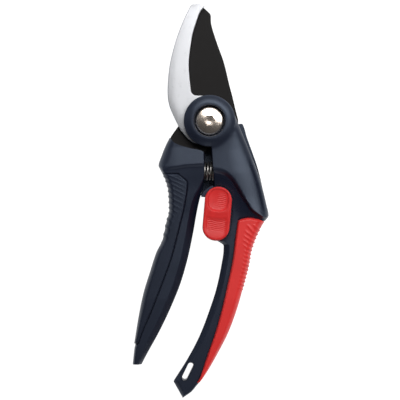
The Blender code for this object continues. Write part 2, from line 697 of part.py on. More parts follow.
def make_spring():
    """Coil along x between two flanged studs, one in each handle's pocket."""
    flange_r = SPRING_R - 0.3
    stud_r = SPRING_R - SPRING_WIRE - 0.4
    ends = {}
    for name, bottom, way in (("spring_stud_right", RIGHT_POCKET_X, -1),
                              ("spring_stud_left", LEFT_POCKET_X, 1)):
        seat = bottom + way * GAP
        face = seat + way * STUD_FLANGE
        tip = face + way * STUD_LENGTH
        profile = [(flange_r, seat), (flange_r, face), (stud_r, face), (stud_r, tip - way * 0.6),
                   (stud_r - 0.6, tip)]
        turned(name, profile, (0, SPRING_Y, SPLIT), "x",
               material(name + " plastic", (0.05, 0.05, 0.055), 0.4), steps=20)
        ends[way] = face + way * GAP
    first = ends[1] + SPRING_WIRE / 2
    last = ends[-1] - SPRING_WIRE / 2
    coil_r = SPRING_R - SPRING_WIRE / 2
    pitch = (last - first) / SPRING_TURNS / (2 * math.pi)
    slope = math.atan2(pitch, coil_r)
    rings = []
    for turn in np.linspace(0, 2 * math.pi * SPRING_TURNS, SPRING_TURNS * 14 + 1):
        out = np.array((0, math.cos(turn), math.sin(turn)))
        along = np.array((math.sin(slope), -math.sin(turn) * math.cos(slope),
                          math.cos(turn) * math.cos(slope)))
        side = np.cross(along, out)
        centre = np.array((first + pitch * turn, SPRING_Y, SPLIT)) + coil_r * out
        around = np.radians(np.arange(0, 360, 60))
        rings.append([centre + SPRING_WIRE / 2 * (math.cos(a) * out + math.sin(a) * side)
                      for a in around])
    loft("coil_spring", rings, steel("spring wire"), smooth_angle=60)


# ---------------------------------------------------------------- lock

def tongue_outline():
    """Tongue under the guide, with a tab that reaches across to the left handle."""
    half = TONGUE_WIDTH / 2
    side = [(-half, TONGUE_LOW), (half, TONGUE_LOW), (half, TONGUE_TOP - 1.5),
            (half - 1.5, TONGUE_TOP)]
    rounded = spline([(-2.0, TONGUE_TOP), (-4.6, TONGUE_TOP - 0.5), (-7.9, TONGUE_TOP - 3.5),
                      (-TAB_REACH, TAB_LOW + 0.6)], 3)
    return side + rounded + [(-TAB_REACH, TAB_LOW), (-half, TAB_LOW)]


def cut_lock_room(front):
    guide_room = prism("guide_room", on_lock(stadium(GUIDE_LENGTH + 2 * GAP,
                                                     GUIDE_WIDTH + 2 * GAP)),
                       GUIDE_Z - GAP, BOSS_TOP)
    half = TONGUE_WIDTH / 2 + RUN_GAP
    low = TONGUE_LOW - LOCK_TRAVEL - RUN_GAP
    high = TONGUE_TOP + RUN_GAP
    window = TAB_LOW - LOCK_TRAVEL - RUN_GAP
    track = [(-half, low), (half, low), (half, high), (-14, high), (-14, window), (-half, window)]
    tongue_room = prism("tongue_room", on_lock(track), LOCK_FLOOR, GUIDE_Z)
    clip_room = prism("click_room", on_lock([(-1.8, -7), (1.8, -7), (1.8, 7), (-1.8, 7)]),
                      LOCK_FLOOR - 1.4, LOCK_FLOOR + 0.4)
    (x, y), = on_lock([(0, GUIDE_SCREW_ALONG)])
    screw_room = cylinder("guide_screw_bore", x, y, GUIDE_SCREW_R + GAP, GUIDE_Z - 3.6, GUIDE_Z,
                          12)
    cut(front, guide_room, tongue_room, clip_room, screw_room)


def make_lock():
    red = material("red plastic", (0.6, 0.03, 0.035), 0.35)
    slider = prism("lock_slider", on_lock(stadium(LOCK_LENGTH, LOCK_WIDTH, 14)), SLIDER_Z,
                   SLIDER_Z + LOCK_HEIGHT, red)
    soften(slider, 1.0)
    half = STEM_WIDTH / 2
    end = STEM_LENGTH / 2
    stem_plan = [(-half, -end), (half, -end), (half, end), (-half, end)]
    stem_low = TONGUE_Z + TONGUE_T + GAP
    join(slider, prism("slider_stem", on_lock(stem_plan, STEM_SHIFT), stem_low, SLIDER_Z + 1))
    rivet_r = 0.9
    (x, y), = on_lock([(0, STEM_SHIFT)])
    rivet_top = SLIDER_Z + 2.5
    rivet_room = cylinder("rivet_bore", x, y, rivet_r + GAP, 0, rivet_top + GAP, 16)
    cut(slider, rivet_room)

    tongue = prism("lock_tongue", on_lock(tongue_outline()), TONGUE_Z, TONGUE_Z + TONGUE_T,
                   material("dark steel", (0.06, 0.065, 0.08), 0.4, 0.8))
    cut(tongue, rivet_room)
    turned("lock_rivet", [(rivet_r, TONGUE_Z + 0.1), (rivet_r, rivet_top)], (x, y, 0), "z",
           steel("rivet steel"), steps=12)

    guide = prism("lock_guide", on_lock(stadium(GUIDE_LENGTH, GUIDE_WIDTH)), GUIDE_Z, GUIDE_TOP,
                  navy("guide plastic"))
    slot = stadium(STEM_LENGTH + LOCK_TRAVEL + 2 * RUN_GAP + STEM_WIDTH * 0.4,
                   STEM_WIDTH + 2 * RUN_GAP)
    slot_room = prism("guide_slot", on_lock(slot, STEM_SHIFT - LOCK_TRAVEL / 2), GUIDE_Z - 1,
                      GUIDE_TOP + 1)
    (x, y), = on_lock([(0, GUIDE_SCREW_ALONG)])
    head_z = GUIDE_TOP - GUIDE_SCREW_HEAD_H
    hole = cylinder("guide_screw_hole", x, y, GUIDE_SCREW_R + GAP, GUIDE_Z - 1, GUIDE_TOP + 1, 12)
    seat = cylinder("guide_head_room", x, y, GUIDE_SCREW_HEAD_R + GAP, head_z - GAP,
                    GUIDE_TOP + 1, 16)
    cut(guide, slot_room, hole, seat)
    turned("lock_guide_screw", [(GUIDE_SCREW_R, GUIDE_Z - 3.3), (GUIDE_SCREW_R, head_z),
                                (GUIDE_SCREW_HEAD_R, head_z), (GUIDE_SCREW_HEAD_R, GUIDE_TOP)],
           (x, y, 0), "z", steel("guide screw steel"), steps=16)

    arch = np.linspace(-5.5, 5.5, 9)
    rise = 0.55 * np.cos(arch / 5.5 * math.pi / 2)
    low = LOCK_FLOOR - 1.1
    rings = []
    for along, up in zip(arch, rise):
        (xa, ya), (xb, yb) = on_lock([(-1.4, along), (1.4, along)])
        rings.append([(xa, ya, low + up), (xb, yb, low + up), (xb, yb, low + up + 0.4),
                      (xa, ya, low + up + 0.4)])
    loft("lock_click_spring", rings, steel("leaf steel"))


def main():
    for obj in list(bpy.data.objects):
        bpy.data.objects.remove(obj, do_unlink=True)
    make_plates()
    make_pivot()
    make_right_handle()
    make_left_handle()
    make_spring()
    make_lock()


main()
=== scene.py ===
"""Looks of the bypass pruning shears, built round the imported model.

The tool lies on its back: +X is right, +Y is towards the blade tip, +Z is up out of its front,
and the pivot's axis is the Z axis. Lengths in this script are millimetres, and become metres
when a mesh is made. "drop" is a distance below the pivot, which is -Y.
"""

import math

import bmesh
import bpy
import mathutils
import numpy as np
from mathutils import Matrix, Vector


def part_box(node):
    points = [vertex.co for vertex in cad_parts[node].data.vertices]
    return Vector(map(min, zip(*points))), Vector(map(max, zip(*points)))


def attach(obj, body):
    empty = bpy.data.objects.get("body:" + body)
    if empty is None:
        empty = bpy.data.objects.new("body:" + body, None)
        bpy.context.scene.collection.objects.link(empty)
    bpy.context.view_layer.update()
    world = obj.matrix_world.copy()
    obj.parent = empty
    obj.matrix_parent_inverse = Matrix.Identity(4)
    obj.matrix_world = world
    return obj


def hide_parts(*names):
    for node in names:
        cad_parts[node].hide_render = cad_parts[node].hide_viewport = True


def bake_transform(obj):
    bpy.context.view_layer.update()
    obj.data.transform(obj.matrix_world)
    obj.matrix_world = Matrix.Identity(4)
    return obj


bl_info = {
    "name": "Pruning Shears",
    "version": (1, 0, 0),
    "blender": (4, 5, 0),
    "location": "View3D > Sidebar > Shears",
    "description": "Makes the surfaces and finishes of a pair of bypass pruning shears",
    "category": "Object",
}

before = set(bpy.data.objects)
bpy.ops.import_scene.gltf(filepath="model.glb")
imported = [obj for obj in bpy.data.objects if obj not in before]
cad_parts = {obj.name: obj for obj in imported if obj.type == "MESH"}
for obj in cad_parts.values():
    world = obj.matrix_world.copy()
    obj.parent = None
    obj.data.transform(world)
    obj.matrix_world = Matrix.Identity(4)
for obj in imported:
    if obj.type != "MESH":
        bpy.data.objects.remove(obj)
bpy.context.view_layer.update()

MM = 0.001


def size(name):
    """A size that a user can change, in millimetres."""
    return getattr(bpy.context.scene.shears_sizes, name) / MM


def cad_span(node, axis):
    """Lowest and highest value of a CAD node along one axis, in millimetres."""
    low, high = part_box(node)
    return low[axis] / MM, high[axis] / MM


# Levels and places, from the frame
HOOK_Z = cad_span("hook_blade", 2)
BLADE_Z = cad_span("cutting_blade", 2)
SPLIT_HIGH = cad_span("right_handle_front", 2)[0]
BOSS_TOP = cad_span("right_handle_front", 2)[1]
SPLIT_LOW = cad_span("right_handle_back", 2)[1]
SPLIT = (SPLIT_LOW + SPLIT_HIGH) / 2
SLIDER_Z = cad_span("lock_guide", 2)[1] + 0.3
SLIDER_TOP = cad_span("lock_slider", 2)[1]
BOLT_Z = cad_span("pivot_bolt", 2)
BOLT_HEAD_R = cad_span("pivot_bolt", 0)[1]
NUT_TOP = cad_span("pivot_nut", 2)[1]
BUSHING_R = cad_span("pivot_bushing", 0)[1]
RIGHT_REACH = -cad_span("right_handle_front", 1)[0]
LEFT_REACH = -cad_span("left_handle_front", 1)[0]
SPRING_X = cad_span("coil_spring", 0)
SPRING_SPAN_Y = cad_span("coil_spring", 1)
SPRING_Y = sum(SPRING_SPAN_Y) / 2
SPRING_R = (SPRING_SPAN_Y[1] - SPRING_SPAN_Y[0]) / 2
SPRING_PHASE = 0.038    # turn of the coil's first end
COIL_ROOM = 0.35

# Levels of the front surface, counted from the boss
HEAD_TOP = BOSS_TOP - 0.8
RECESS_TOP = BOSS_TOP - 2.6
STRIP_TOP = BOSS_TOP - 4.0
GRIP_TOP = BOSS_TOP - 1.0
UNDER_GRIP = 0.5        # how far a shell drops under its grip
# Levels of the back surface, counted from the table
HEAD_BACK = 0.5
STRIP_BACK = 2.4

# Pivot
BOSS_R = 13.75
BOSS_FLAT_R = 9.4       # where the boss starts to fall
BOSS_SLOPE = 1.8        # its fall from there to its rim
PLATE_HUB_R = 13.2
HEEL_R = 15.4           # lobe of the cutting blade beside its hub
HEEL_END = -25.0        # and the angle where it ends
OPEN_ANGLE = 28.0
NUT_FLATS = 12.0
NUT_SEAT = 1.1          # spring washer over the nut
SHANK_R = 4.6           # bore for the bolt's shank
HEAD_SEAT = 3.8         # depth of the bore for the bolt's head, under the bolt's top

# Handles
WALL_TOP = 2.6          # straight wall above and below the split
TAPER = 0.2             # share of the thickness lost towards a handle's end
GRIP_WALL = 2.8         # how far a grip wraps over its shell's side
GAP = 0.3               # clearance between pieces

# Edges of the handles: (drop, x)
RIGHT_INNER = [(-5, 0), (9, 0.1), (15, 0.7), (23.5, 1.3), (33, 2.2), (38, 0), (45, -2.4),
               (58, -2.6), (61, -1.2), (63, 1.2), (64.2, 4.4), (66.8, 7.6), (70, 7.5),
               (76.5, 6.5), (89.3, 3.8), (102.1, -0.3), (115, -5.3), (127.8, -12.0),
               (138.7, -18.9), (139.3, -19.25), (139.8, -18.95), (147.9, -14.4)]
RIGHT_OUTER = [(-5, 12.8), (16, 21.3), (30.5, 26.8), (44.4, 30.4), (50.5, 31.6), (53.6, 29.5),
               (57.2, 27.2), (63.6, 24.3), (70, 22.2), (76.5, 21.1), (86.1, 18.7), (98.9, 15.2),
               (111.8, 10.6), (124.6, 4.2), (137.4, -3.5), (141.6, -7), (144.6, -9.5),
               (147.9, -14.2)]
RIGHT_REAR_STEP = [(1.3, 2.2), (2.6, 2.4), (9, 1.7), (20, 1.3), (33, 0.3), (40, 0), (150, 0)]
RIGHT_GRIP = [(53.6, 14.9), (60.4, 13.9), (73.2, 12.3), (86.1, 9.7), (98.9, 6.8), (111.8, 3.3),
              (124.6, -1.1), (137.4, -5.4), (140.5, -6.6)]
LEFT_INNER = [(7, -2.5), (16.8, -2.6), (23, -2.4), (30, -2.6), (36, -3.6), (41, -5.1),
              (47.6, -6.6), (60.4, -8.9), (73.2, -11.6), (86.1, -15.3), (98.9, -20.4),
              (111.8, -26.5), (124.6, -33.5), (130, -36.3)]
LEFT_OUTER = [(7, -20.5), (8.8, -21.3), (12.3, -23.1), (18.7, -25.7), (24, -27.3), (25.1, -26.8),
              (31.5, -23.6), (37.9, -22), (47.6, -21.6), (54, -23.1), (63.6, -25.2), (70, -28.4),
              (79.7, -31.6), (92.5, -35.5), (105.3, -38.1), (117.5, -40.1), (118.7, -40.3),
              (119.4, -39.7), (121, -40.1), (130, -41.1)]
LEFT_GRIP = [(27.6, -17.2), (33.5, -11.4), (43.3, -12.6), (58.6, -16.2), (73, -20), (88, -25.4),
             (102.7, -31.2), (111.8, -35.2), (119.3, -38)]
# Creases where the raised head and collar end: (x, drop)
RIGHT_CREASE = [(-3, 23.4), (2.9, 24.6), (8.4, 26.4), (12.1, 29.4), (15.9, 35.3), (19.3, 41.4),
                (23.4, 47.4), (28.2, 50.5), (32, 51.9)]
LEFT_CREASE = [(-28, 25.6), (-25, 25.2), (-17.5, 24.1), (-10.8, 23.1), (-2.9, 22.8), (0, 22.8)]
# Upper edge of the collar: (x, drop)
COLLAR_EDGE = [(-26, 4.2), (-24, 6.4), (-21.3, 8.8), (-18.2, 12), (-11.4, 14.4), (-5.9, 15.5),
               (-2.6, 16.8), (0, 18)]

# Handle screws, (x, drop), and the lanyard slot's two ends
RIGHT_SCREWS = [(16.5, 22.0), (15.0, 47.0), (-2.4, 117.0)]
LEFT_SCREWS = [(-17.0, 20.5), (-9.9, 47.0), (-29.0, 108.0)]
SCREW_SEAT = 5.0
SCREW_TOP = 13.3
SCREW_BORE = 1.5
SCREW_HEAD = 2.5
LANYARD_ENDS = [(-10.1, 130.6), (-13.3, 137.2)]
LANYARD_R = 1.5

# Lock
LOCK_X = 4.0
LOCK_Y = -49.5
LOCK_TILT = math.radians(5.0)
LOCK_LENGTH = 28.8
LOCK_WIDTH = 14.4
LOCK_TRAVEL = 7.0
LOCK_ROOM = 0.35        # clearance round the tongue
TONGUE_HALF = 2.8       # half the tongue's width
TONGUE_ENDS = (-2.5, 14.8)
TAB_LOW = 8.2           # lower side of the tab that points at the left handle
TONGUE_Z = (11.4, 13.6)
GUIDE_SIZE = (27.6, 8.6)
GUIDE_Z = 13.3
MOAT_Z = 13.7           # floor of the shallow seat round the slider
MOAT_GAP = 0.95


# ---------------------------------------------------------------- numbers

def ease(table, where):
    """Monotone cubic through (key, value) pairs, level beyond both ends."""
    keys, values = np.array(table, float).T
    where = np.clip(np.asarray(where, float), keys[0], keys[-1])
    slopes = np.diff(values) / np.diff(keys)
    product = slopes[:-1] * slopes[1:]
    total = slopes[:-1] + slopes[1:]
    inner = np.where(product > 0, 2 * product / np.where(total == 0, 1, total), 0)
    tangents = np.concatenate(([slopes[0]], inner, [slopes[-1]]))
    i = np.clip(np.searchsorted(keys, where, side="right") - 1, 0, len(keys) - 2)
    span = keys[i + 1] - keys[i]
    t = (where - keys[i]) / span
    rise = values[i + 1] - values[i]
    bend_in = span * tangents[i]
    bend_out = span * tangents[i + 1]
    return values[i] + t * bend_in + t**2 * (3 * rise - 2 * bend_in - bend_out) \
        + t**3 * (bend_in + bend_out - 2 * rise)


def slope_of(table, where, step=0.2):
    """Slope of the eased table."""
    return (ease(table, where + step) - ease(table, where - step)) / (2 * step)


def fade(low, high, value):
    """0 below low, 1 above high, and a smooth S between."""
    t = np.clip((value - low) / (high - low), 0, 1)
    return t * t * (3 - 2 * t)


def shoulder(distance, radius, power=2.0):
    """Height of a rounded edge: 0 at the edge, 1 from the radius inwards, along a superellipse."""
    t = np.clip(distance / radius, 0, 1)
    return (1 - (1 - t) ** power) ** (1 / power)


def soft_max(a, b, blend):
    """Larger of two heights, rounded off where they meet."""
    return 0.5 * (a + b + np.sqrt((a - b) ** 2 + blend**2)) - 0.02 * blend


def arc(radius, start, end, steps, centre=(0.0, 0.0)):
    """Points of an arc, its angles in degrees."""
    angles = np.radians(np.linspace(start, end, steps))
    return np.column_stack((centre[0] + radius * np.cos(angles),
                            centre[1] + radius * np.sin(angles)))


def spline(points, steps):
    """Catmull-Rom line through points, steps to a stretch."""
    p = np.array(points, float)
    p = np.vstack((2 * p[0] - p[1], p, 2 * p[-1] - p[-2]))
    a, b, c, d = p[:-3, None], p[1:-2, None], p[2:-1, None], p[3:, None]
    t = np.linspace(0, 1, steps, endpoint=False)[None, :, None]
    line = 0.5 * (2 * b + (c - a) * t + (2 * a - 5 * b + 4 * c - d) * t**2
                  + (3 * b - a - 3 * c + d) * t**3)
    return np.vstack((line.reshape(-1, 2), p[-2]))


def stadium(length, width, steps):
    """Outline of a slot that stands along y."""
    r = width / 2
    half = length / 2 - r
    return np.vstack((arc(r, 0, 180, steps, (0, half)), arc(r, 180, 360, steps, (0, -half))))


def hexagon(flats):
    """Corners of a hexagon of a width across its flats."""
    return arc(flats / 2 / math.cos(math.radians(30)), 0, 300, 6)


def grown(outline, distance):
    """The closed outline moved outwards by a distance, its corners mitred."""
    p = np.asarray(outline, float)
    x, y = p.T
    if np.sum(x * np.roll(y, -1) - np.roll(x, -1) * y) < 0:
        p = p[::-1]
    before = p - np.roll(p, 1, axis=0)
    after = np.roll(p, -1, axis=0) - p
    before /= np.linalg.norm(before, axis=1)[:, None]
    after /= np.linalg.norm(after, axis=1)[:, None]
    normal = np.column_stack((before[:, 1] + after[:, 1], -before[:, 0] - after[:, 0]))
    normal /= np.linalg.norm(normal, axis=1)[:, None]
    mitre = np.clip(normal[:, 0] * after[:, 1] - normal[:, 1] * after[:, 0], 0.6, 1)
    return p + normal * (distance / mitre)[:, None]


def on_lock(points):
    """Points in the lock's own frame, y along its travel, moved to their place."""
    x, y = np.asarray(points, float).T
    c, s = math.cos(LOCK_TILT), math.sin(LOCK_TILT)
    return np.column_stack((LOCK_X + c * x + s * y, LOCK_Y - s * x + c * y))


# ---------------------------------------------------------------- meshes

def piece(name, verts, faces, material=None, sharp=32):
    """Object with its place in its mesh and its faces pointing outwards."""
    mesh = bpy.data.meshes.new(name)
    mesh.from_pydata((np.asarray(verts, float) * MM).tolist(), [], faces)
    bm = bmesh.new()
    bm.from_mesh(mesh)
    bmesh.ops.remove_doubles(bm, verts=bm.verts, dist=1e-7)
    bmesh.ops.recalc_face_normals(bm, faces=bm.faces)
    bm.to_mesh(mesh)
    bm.free()
    obj = bpy.data.objects.new(name, mesh)
    bpy.context.scene.collection.objects.link(obj)
    if material:
        mesh.materials.append(material)
    polish(obj, sharp)
    return obj


def polish(obj, sharp):
    """Smooth shading, with an edge kept sharp where it turns more than an angle in degrees."""
    obj.data.shade_smooth()
    obj.data.set_sharp_from_angle(angle=math.radians(sharp))


def grid_faces(rows, width):
    """Quads of a grid whose rows are closed rings."""
    i = np.arange(rows - 1)[:, None] * width
    j = np.arange(width)[None]
    n = (j + 1) % width
    return np.stack((i + j, i + n, i + width + n, i + width + j), axis=-1).reshape(-1, 4).tolist()


def skin(name, rings, material=None, sharp=32, last_cap=True):
    """Body carried through a row of closed rings and capped at its ends. The last cap is left
    out where the last ring is folded shut on a line."""
    rings = np.asarray(rings, float)
    rows, width = rings.shape[:2]
    faces = grid_faces(rows, width)
    faces.append(list(range(width)))
    if last_cap:
        faces.append(list(range((rows - 1) * width, rows * width)))
    return piece(name, rings.reshape(-1, 3), faces, material, sharp)


def at_height(outline, z):
    """Ring of a plan at one height."""
    return np.column_stack((outline, np.full(len(outline), float(z))))


def slab(name, outline, low, high):
    """Upright body with a plan."""
    return skin(name, [at_height(outline, low), at_height(outline, high)])


def turned(name, profile, material=None, steps=96, centre=(0, 0, 0), axis=2, sharp=32):
    """Body of revolution: a (radius, distance along the axis) profile swept round the X axis (0)
    or the Z axis (2)."""
    radius, along = np.array(profile, float).T
    angle = np.linspace(0, 2 * math.pi, steps, endpoint=False)[None]
    u = radius[:, None] * np.cos(angle)
    v = radius[:, None] * np.sin(angle)
    w = np.broadcast_to(along[:, None], u.shape)
    ring = (u, v, w) if axis == 2 else (w, u, v)
    rings = np.stack(ring, axis=-1) + np.array(centre, float)
    return skin(name, rings, material, sharp)


def peg(x, y, radius, low, high, steps=32):
    """Upright cylinder."""
    return turned("peg", [(radius, low), (radius, high)], steps=steps, centre=(x, y, 0))


def shaped(target, tools, operation="DIFFERENCE", sharp=32):
    """Tool bodies cut from a piece or joined on to it, kept as its mesh. A tool's finish stays
    on the faces that it makes."""
    for tool in tools:
        modifier = target.modifiers.new("shape", "BOOLEAN")
        modifier.operation = operation
        modifier.solver = "MANIFOLD"
        modifier.object = tool
    graph = bpy.context.evaluated_depsgraph_get()
    mesh = bpy.data.meshes.new_from_object(target.evaluated_get(graph))
    target.modifiers.clear()
    target.data = mesh
    for tool in tools:
        bpy.data.objects.remove(tool)
    polish(target, sharp)
    return target


# ---------------------------------------------------------------- finishes

class Value:
    """A number that varies over a surface: arithmetic on it adds Math nodes."""

    def __init__(self, finish, socket):
        self.finish = finish
        self.socket = socket

    def math(self, operation, first, second=0.0):
        """Math node of one operation."""
        return self.finish.node("ShaderNodeMath", {"operation": operation}, {0: first, 1: second})

    def __add__(self, other):
        return self.math("ADD", self, other)

    def __sub__(self, other):
        return self.math("SUBTRACT", self, other)

    def __rsub__(self, other):
        return self.math("SUBTRACT", other, self)

    def __mul__(self, other):
        return self.math("MULTIPLY", self, other)

    __radd__ = __add__
    __rmul__ = __mul__


class Finish:
    """One material: a Principled shader and the nodes that feed it."""

    def __init__(self, name, **constants):
        self.material = bpy.data.materials.new(name)
        self.material.use_nodes = True
        self.tree = self.material.node_tree
        self.shader = self.tree.nodes["Principled BSDF"]
        for label, value in constants.items():
            self.shader.inputs[label.replace("_", " ").title().replace("Ior", "IOR")
                               ].default_value = value
        self.place = self.node("ShaderNodeTexCoord", output="Object")

    def node(self, kind, settings=None, values=None, output=0):
        """Any node: its settings first, then its sockets' values or links; gives an output."""
        made = self.tree.nodes.new(kind)
        for label, setting in (settings or {}).items():
            if label == "stops":
                for stop, (position, level) in zip(made.color_ramp.elements, setting):
                    stop.position = position
                    stop.color = (level, level, level, 1)
            else:
                setattr(made, label, setting)
        for label, value in (values or {}).items():
            if isinstance(value, Value):
                self.tree.links.new(value.socket, made.inputs[label])
            else:
                made.inputs[label].default_value = value
        return Value(self, made.outputs[output])

    def noise(self, scale, detail=2.0, stretch=(1, 1, 1), turn=0.0, contrast=None):
        """Noise of a scale in features to a metre, stretched along the axes, as 0 to 1."""
        spot = self.node("ShaderNodeMapping", None,
                         {"Vector": self.place, "Scale": stretch, "Rotation": (0, 0, turn)})
        made = self.node("ShaderNodeTexNoise", None,
                         {"Vector": spot, "Scale": scale, "Detail": detail})
        if contrast:
            made = self.node("ShaderNodeValToRGB", {"stops": [(contrast[0], 0), (contrast[1], 1)]},
                             {0: made})
        return made

    def ramp(self, axis, low, high):
        """0 to 1 as a place goes from low to high along an axis, in millimetres."""
        spot = self.node("ShaderNodeSeparateXYZ", None, {0: self.place}, output=axis)
        return self.node("ShaderNodeMapRange", None,
                         {"Value": spot, "From Min": low * MM, "From Max": high * MM})

    def mixed(self, first, second, factor):
        """Two colours mixed by a factor."""
        return self.node("ShaderNodeMix", {"data_type": "RGBA"}, {0: factor, 6: first, 7: second},
                         output=2)

    def bump(self, height, distance):
        """Relief of a height map, distance in metres."""
        return self.node("ShaderNodeBump", None,
                         {"Height": height, "Distance": distance, "Strength": 1.0})

    def feed(self, **values):
        """Links varying values to the shader's sockets."""
        for label, value in values.items():
            self.tree.links.new(value.socket, self.shader.inputs[label.replace("_", " ").title()])
        return self.material


def rgb(colour, gain=1.0):
    """A colour made lighter or darker, with alpha."""
    return tuple(min(1.0, c * gain) for c in colour[:3]) + (1.0,)


def moulded(name, colour, roughness, grain=0.000018, scale=2600, spread=0.25, shine=0.5,
            tint=(1, 1, 1), gloss=0.0):
    """Moulded plastic or rubber: an eroded grain, slow changes of shade and faint rubbed spots.
    The hollows below the creases can be glossier than the heads."""
    made = Finish(name, ior=1.5, specular_ior_level=shine, specular_tint=(*tint, 1))
    cloud = made.noise(60, 3.0)
    fine = made.noise(scale, 2.0)
    rubbed = made.noise(240, 6.0, contrast=(0.62, 0.75))
    base = made.mixed(rgb(colour, 1 - spread), rgb(colour, 1 + spread), cloud)
    base = made.mixed(base, rgb(colour, 1.9), rubbed * 0.18)
    hollow = made.ramp(2, HEAD_TOP - 1.2, HEAD_TOP - 2.2) * made.ramp(1, -18, -24)
    rough = cloud * 0.10 + fine * 0.06 + rubbed * -0.05 + (roughness - 0.07)
    return made.feed(base_color=base,
                     roughness=rough - hollow * made.ramp(1, -58, -48) * gloss,
                     normal=made.bump(fine * 0.8 + made.noise(900, 1.0) * 0.5, grain))


def metal(name, colour, roughness, grain=0.000006, scale=(900, 900, 900), spread=0.08, turn=0.0,
          metallic=1.0):
    """Bare or plated metal: a fine grain drawn out along one direction, and light handling marks."""
    made = Finish(name, metallic=metallic)
    drawn = made.noise(1.0, 3.0, stretch=scale, turn=turn)
    cloud = made.noise(90, 3.0)
    marks = made.noise(420, 6.0, contrast=(0.60, 0.72))
    base = made.mixed(rgb(colour, 1 - spread), rgb(colour, 1 + spread), drawn * 0.6 + cloud * 0.4)
    base = made.mixed(base, rgb(colour, 1 - 2 * spread), marks * 0.35)
    return made.feed(base_color=base,
                     roughness=drawn * 0.10 + marks * 0.06 + (roughness - 0.06),
                     normal=made.bump(drawn, grain))


FINISHES = {}
SHEEN = (0.66, 0.79, 1.0)   # bluish reflection of the dark mouldings


def finish(name):
    """The material of a name, made once from the user's colours."""
    if name not in FINISHES:
        colours = bpy.context.scene.shears_colours
        makers = {
            "navy plastic": lambda: moulded(name, colours.navy, 0.42, shine=0.66, tint=SHEEN,
                                            gloss=0.17),
            "dark plastic": lambda: moulded(name, colours.dark, 0.45),
            "navy rubber": lambda: moulded(name, colours.pad, 0.47, grain=0.000025, scale=1900,
                                           shine=0.52, tint=SHEEN),
            "red rubber": lambda: moulded(name, colours.grip_red, 0.42, grain=0.000012, spread=0.08,
                                          scale=1900, shine=0.35),
            "red plastic": lambda: moulded(name, colours.lock_red, 0.36, grain=0.000006,
                                           spread=0.06, shine=0.30),
            "satin steel": lambda: metal(name, colours.hook, 0.46, scale=(2600, 2600, 2600),
                                         grain=0.000012, spread=0.10),
            "blade coating": lambda: coated(name, colours.blade),
            "ground steel": lambda: metal(name, (0.62, 0.62, 0.63), 0.24,
                                          scale=(300, 4200, 300), turn=0.2),
            "cast steel": lambda: metal(name, (0.88, 0.82, 0.75), 0.62),
            "bolt chrome": lambda: metal(name, (0.84, 0.74, 0.65), 0.27, grain=0.0000003,
                                         scale=(250, 250, 250), spread=0.03),
            "zinc": lambda: metal(name, (0.60, 0.61, 0.62), 0.34, scale=(900, 900, 900)),
            "spring steel": lambda: metal(name, (0.36, 0.35, 0.34), 0.38, scale=(4000, 900, 900)),
            "bronze": lambda: metal(name, (0.42, 0.25, 0.11), 0.38),
            "blued steel": lambda: metal(name, (0.045, 0.055, 0.085), 0.36, metallic=0.7),
        }
        FINISHES[name] = makers[name]()
    return FINISHES[name]


def coated(name, colour):
    """Black non-stick coating: satin, with a fine speckle and hairline rubs along the blade."""
    made = Finish(name, ior=1.5, specular_ior_level=0.15)
    speck = made.noise(2200, 3.0)
    cloud = made.noise(70, 2.0)
    rubs = made.noise(1.0, 4.0, stretch=(2600, 160, 400), turn=-0.25, contrast=(0.66, 0.80))
    base = made.mixed(rgb(colour, 0.8), rgb(colour, 1.3), cloud)
    base = made.mixed(base, rgb(colour, 3.0), rubs * 0.22)
    return made.feed(base_color=base, roughness=cloud * 0.08 + speck * 0.08 + 0.42,
                     normal=made.bump(speck, 0.000006))


def dress(node, name):
    """A CAD node keeps its shape and takes a finish."""
    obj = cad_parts[node]
    obj.data.materials.clear()
    obj.data.materials.append(finish(name))


def fit(obj, body, slot, *nodes):
    """A finished piece rides on its body and stands for its CAD nodes."""
    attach(obj, body)
    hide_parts(*nodes)
    return obj


# ---------------------------------------------------------------- blades

def hook_back(steps):
    """Outer edge of the hook, from its tip down to the hub."""
    return spline([(-10.2, 61.6), (-12.4, 57.3), (-14.8, 52), (-18.3, 42.3), (-21.4, 29.5),
                    (-22.5, 16.5), (-21.6, 8.5), (-18.3, 0.6), (-16.4, -3), (-13.6, -7.2), (-9.5, -11.1),
                    (-3.8, -12.9)], steps)


def hook_outline(steps=10):
    """Hook: rounded tip, crescent, ledge beside the boss, hub and a tang to the lower right."""
    outer = hook_back(steps)
    tang = spline([(1.5, -12.9), (5.5, -14.4), (9.5, -16.6), (12, -21), (12, -34), (10.9, -44)], 4)
    end = arc(4, 180, 360, 9, (14.9, -54))
    side = spline([(18.9, -44), (20.5, -34), (20.8, -21), (18, -11.5), (12.6, -4)], 4)
    hub = arc(PLATE_HUB_R, 0, 88, 16)
    ledge = np.vstack(([(-3, 13.6)], arc(3, 270, 180, 9, (-7, 16.7))))
    inner = spline([(-10.6, 22), (-11.1, 29.5), (-10.7, 35.9), (-9.3, 45.5), (-7.5, 51.9),
                    (-5.1, 58.4), (-2.9, 60.8)], steps)
    tip = spline([(-2.6, 61.8), (-3.9, 62.6), (-7.2, 62.6), (-9.2, 62.4)], 4)
    return np.vstack((outer, tang, end, side, hub, ledge, inner, tip))


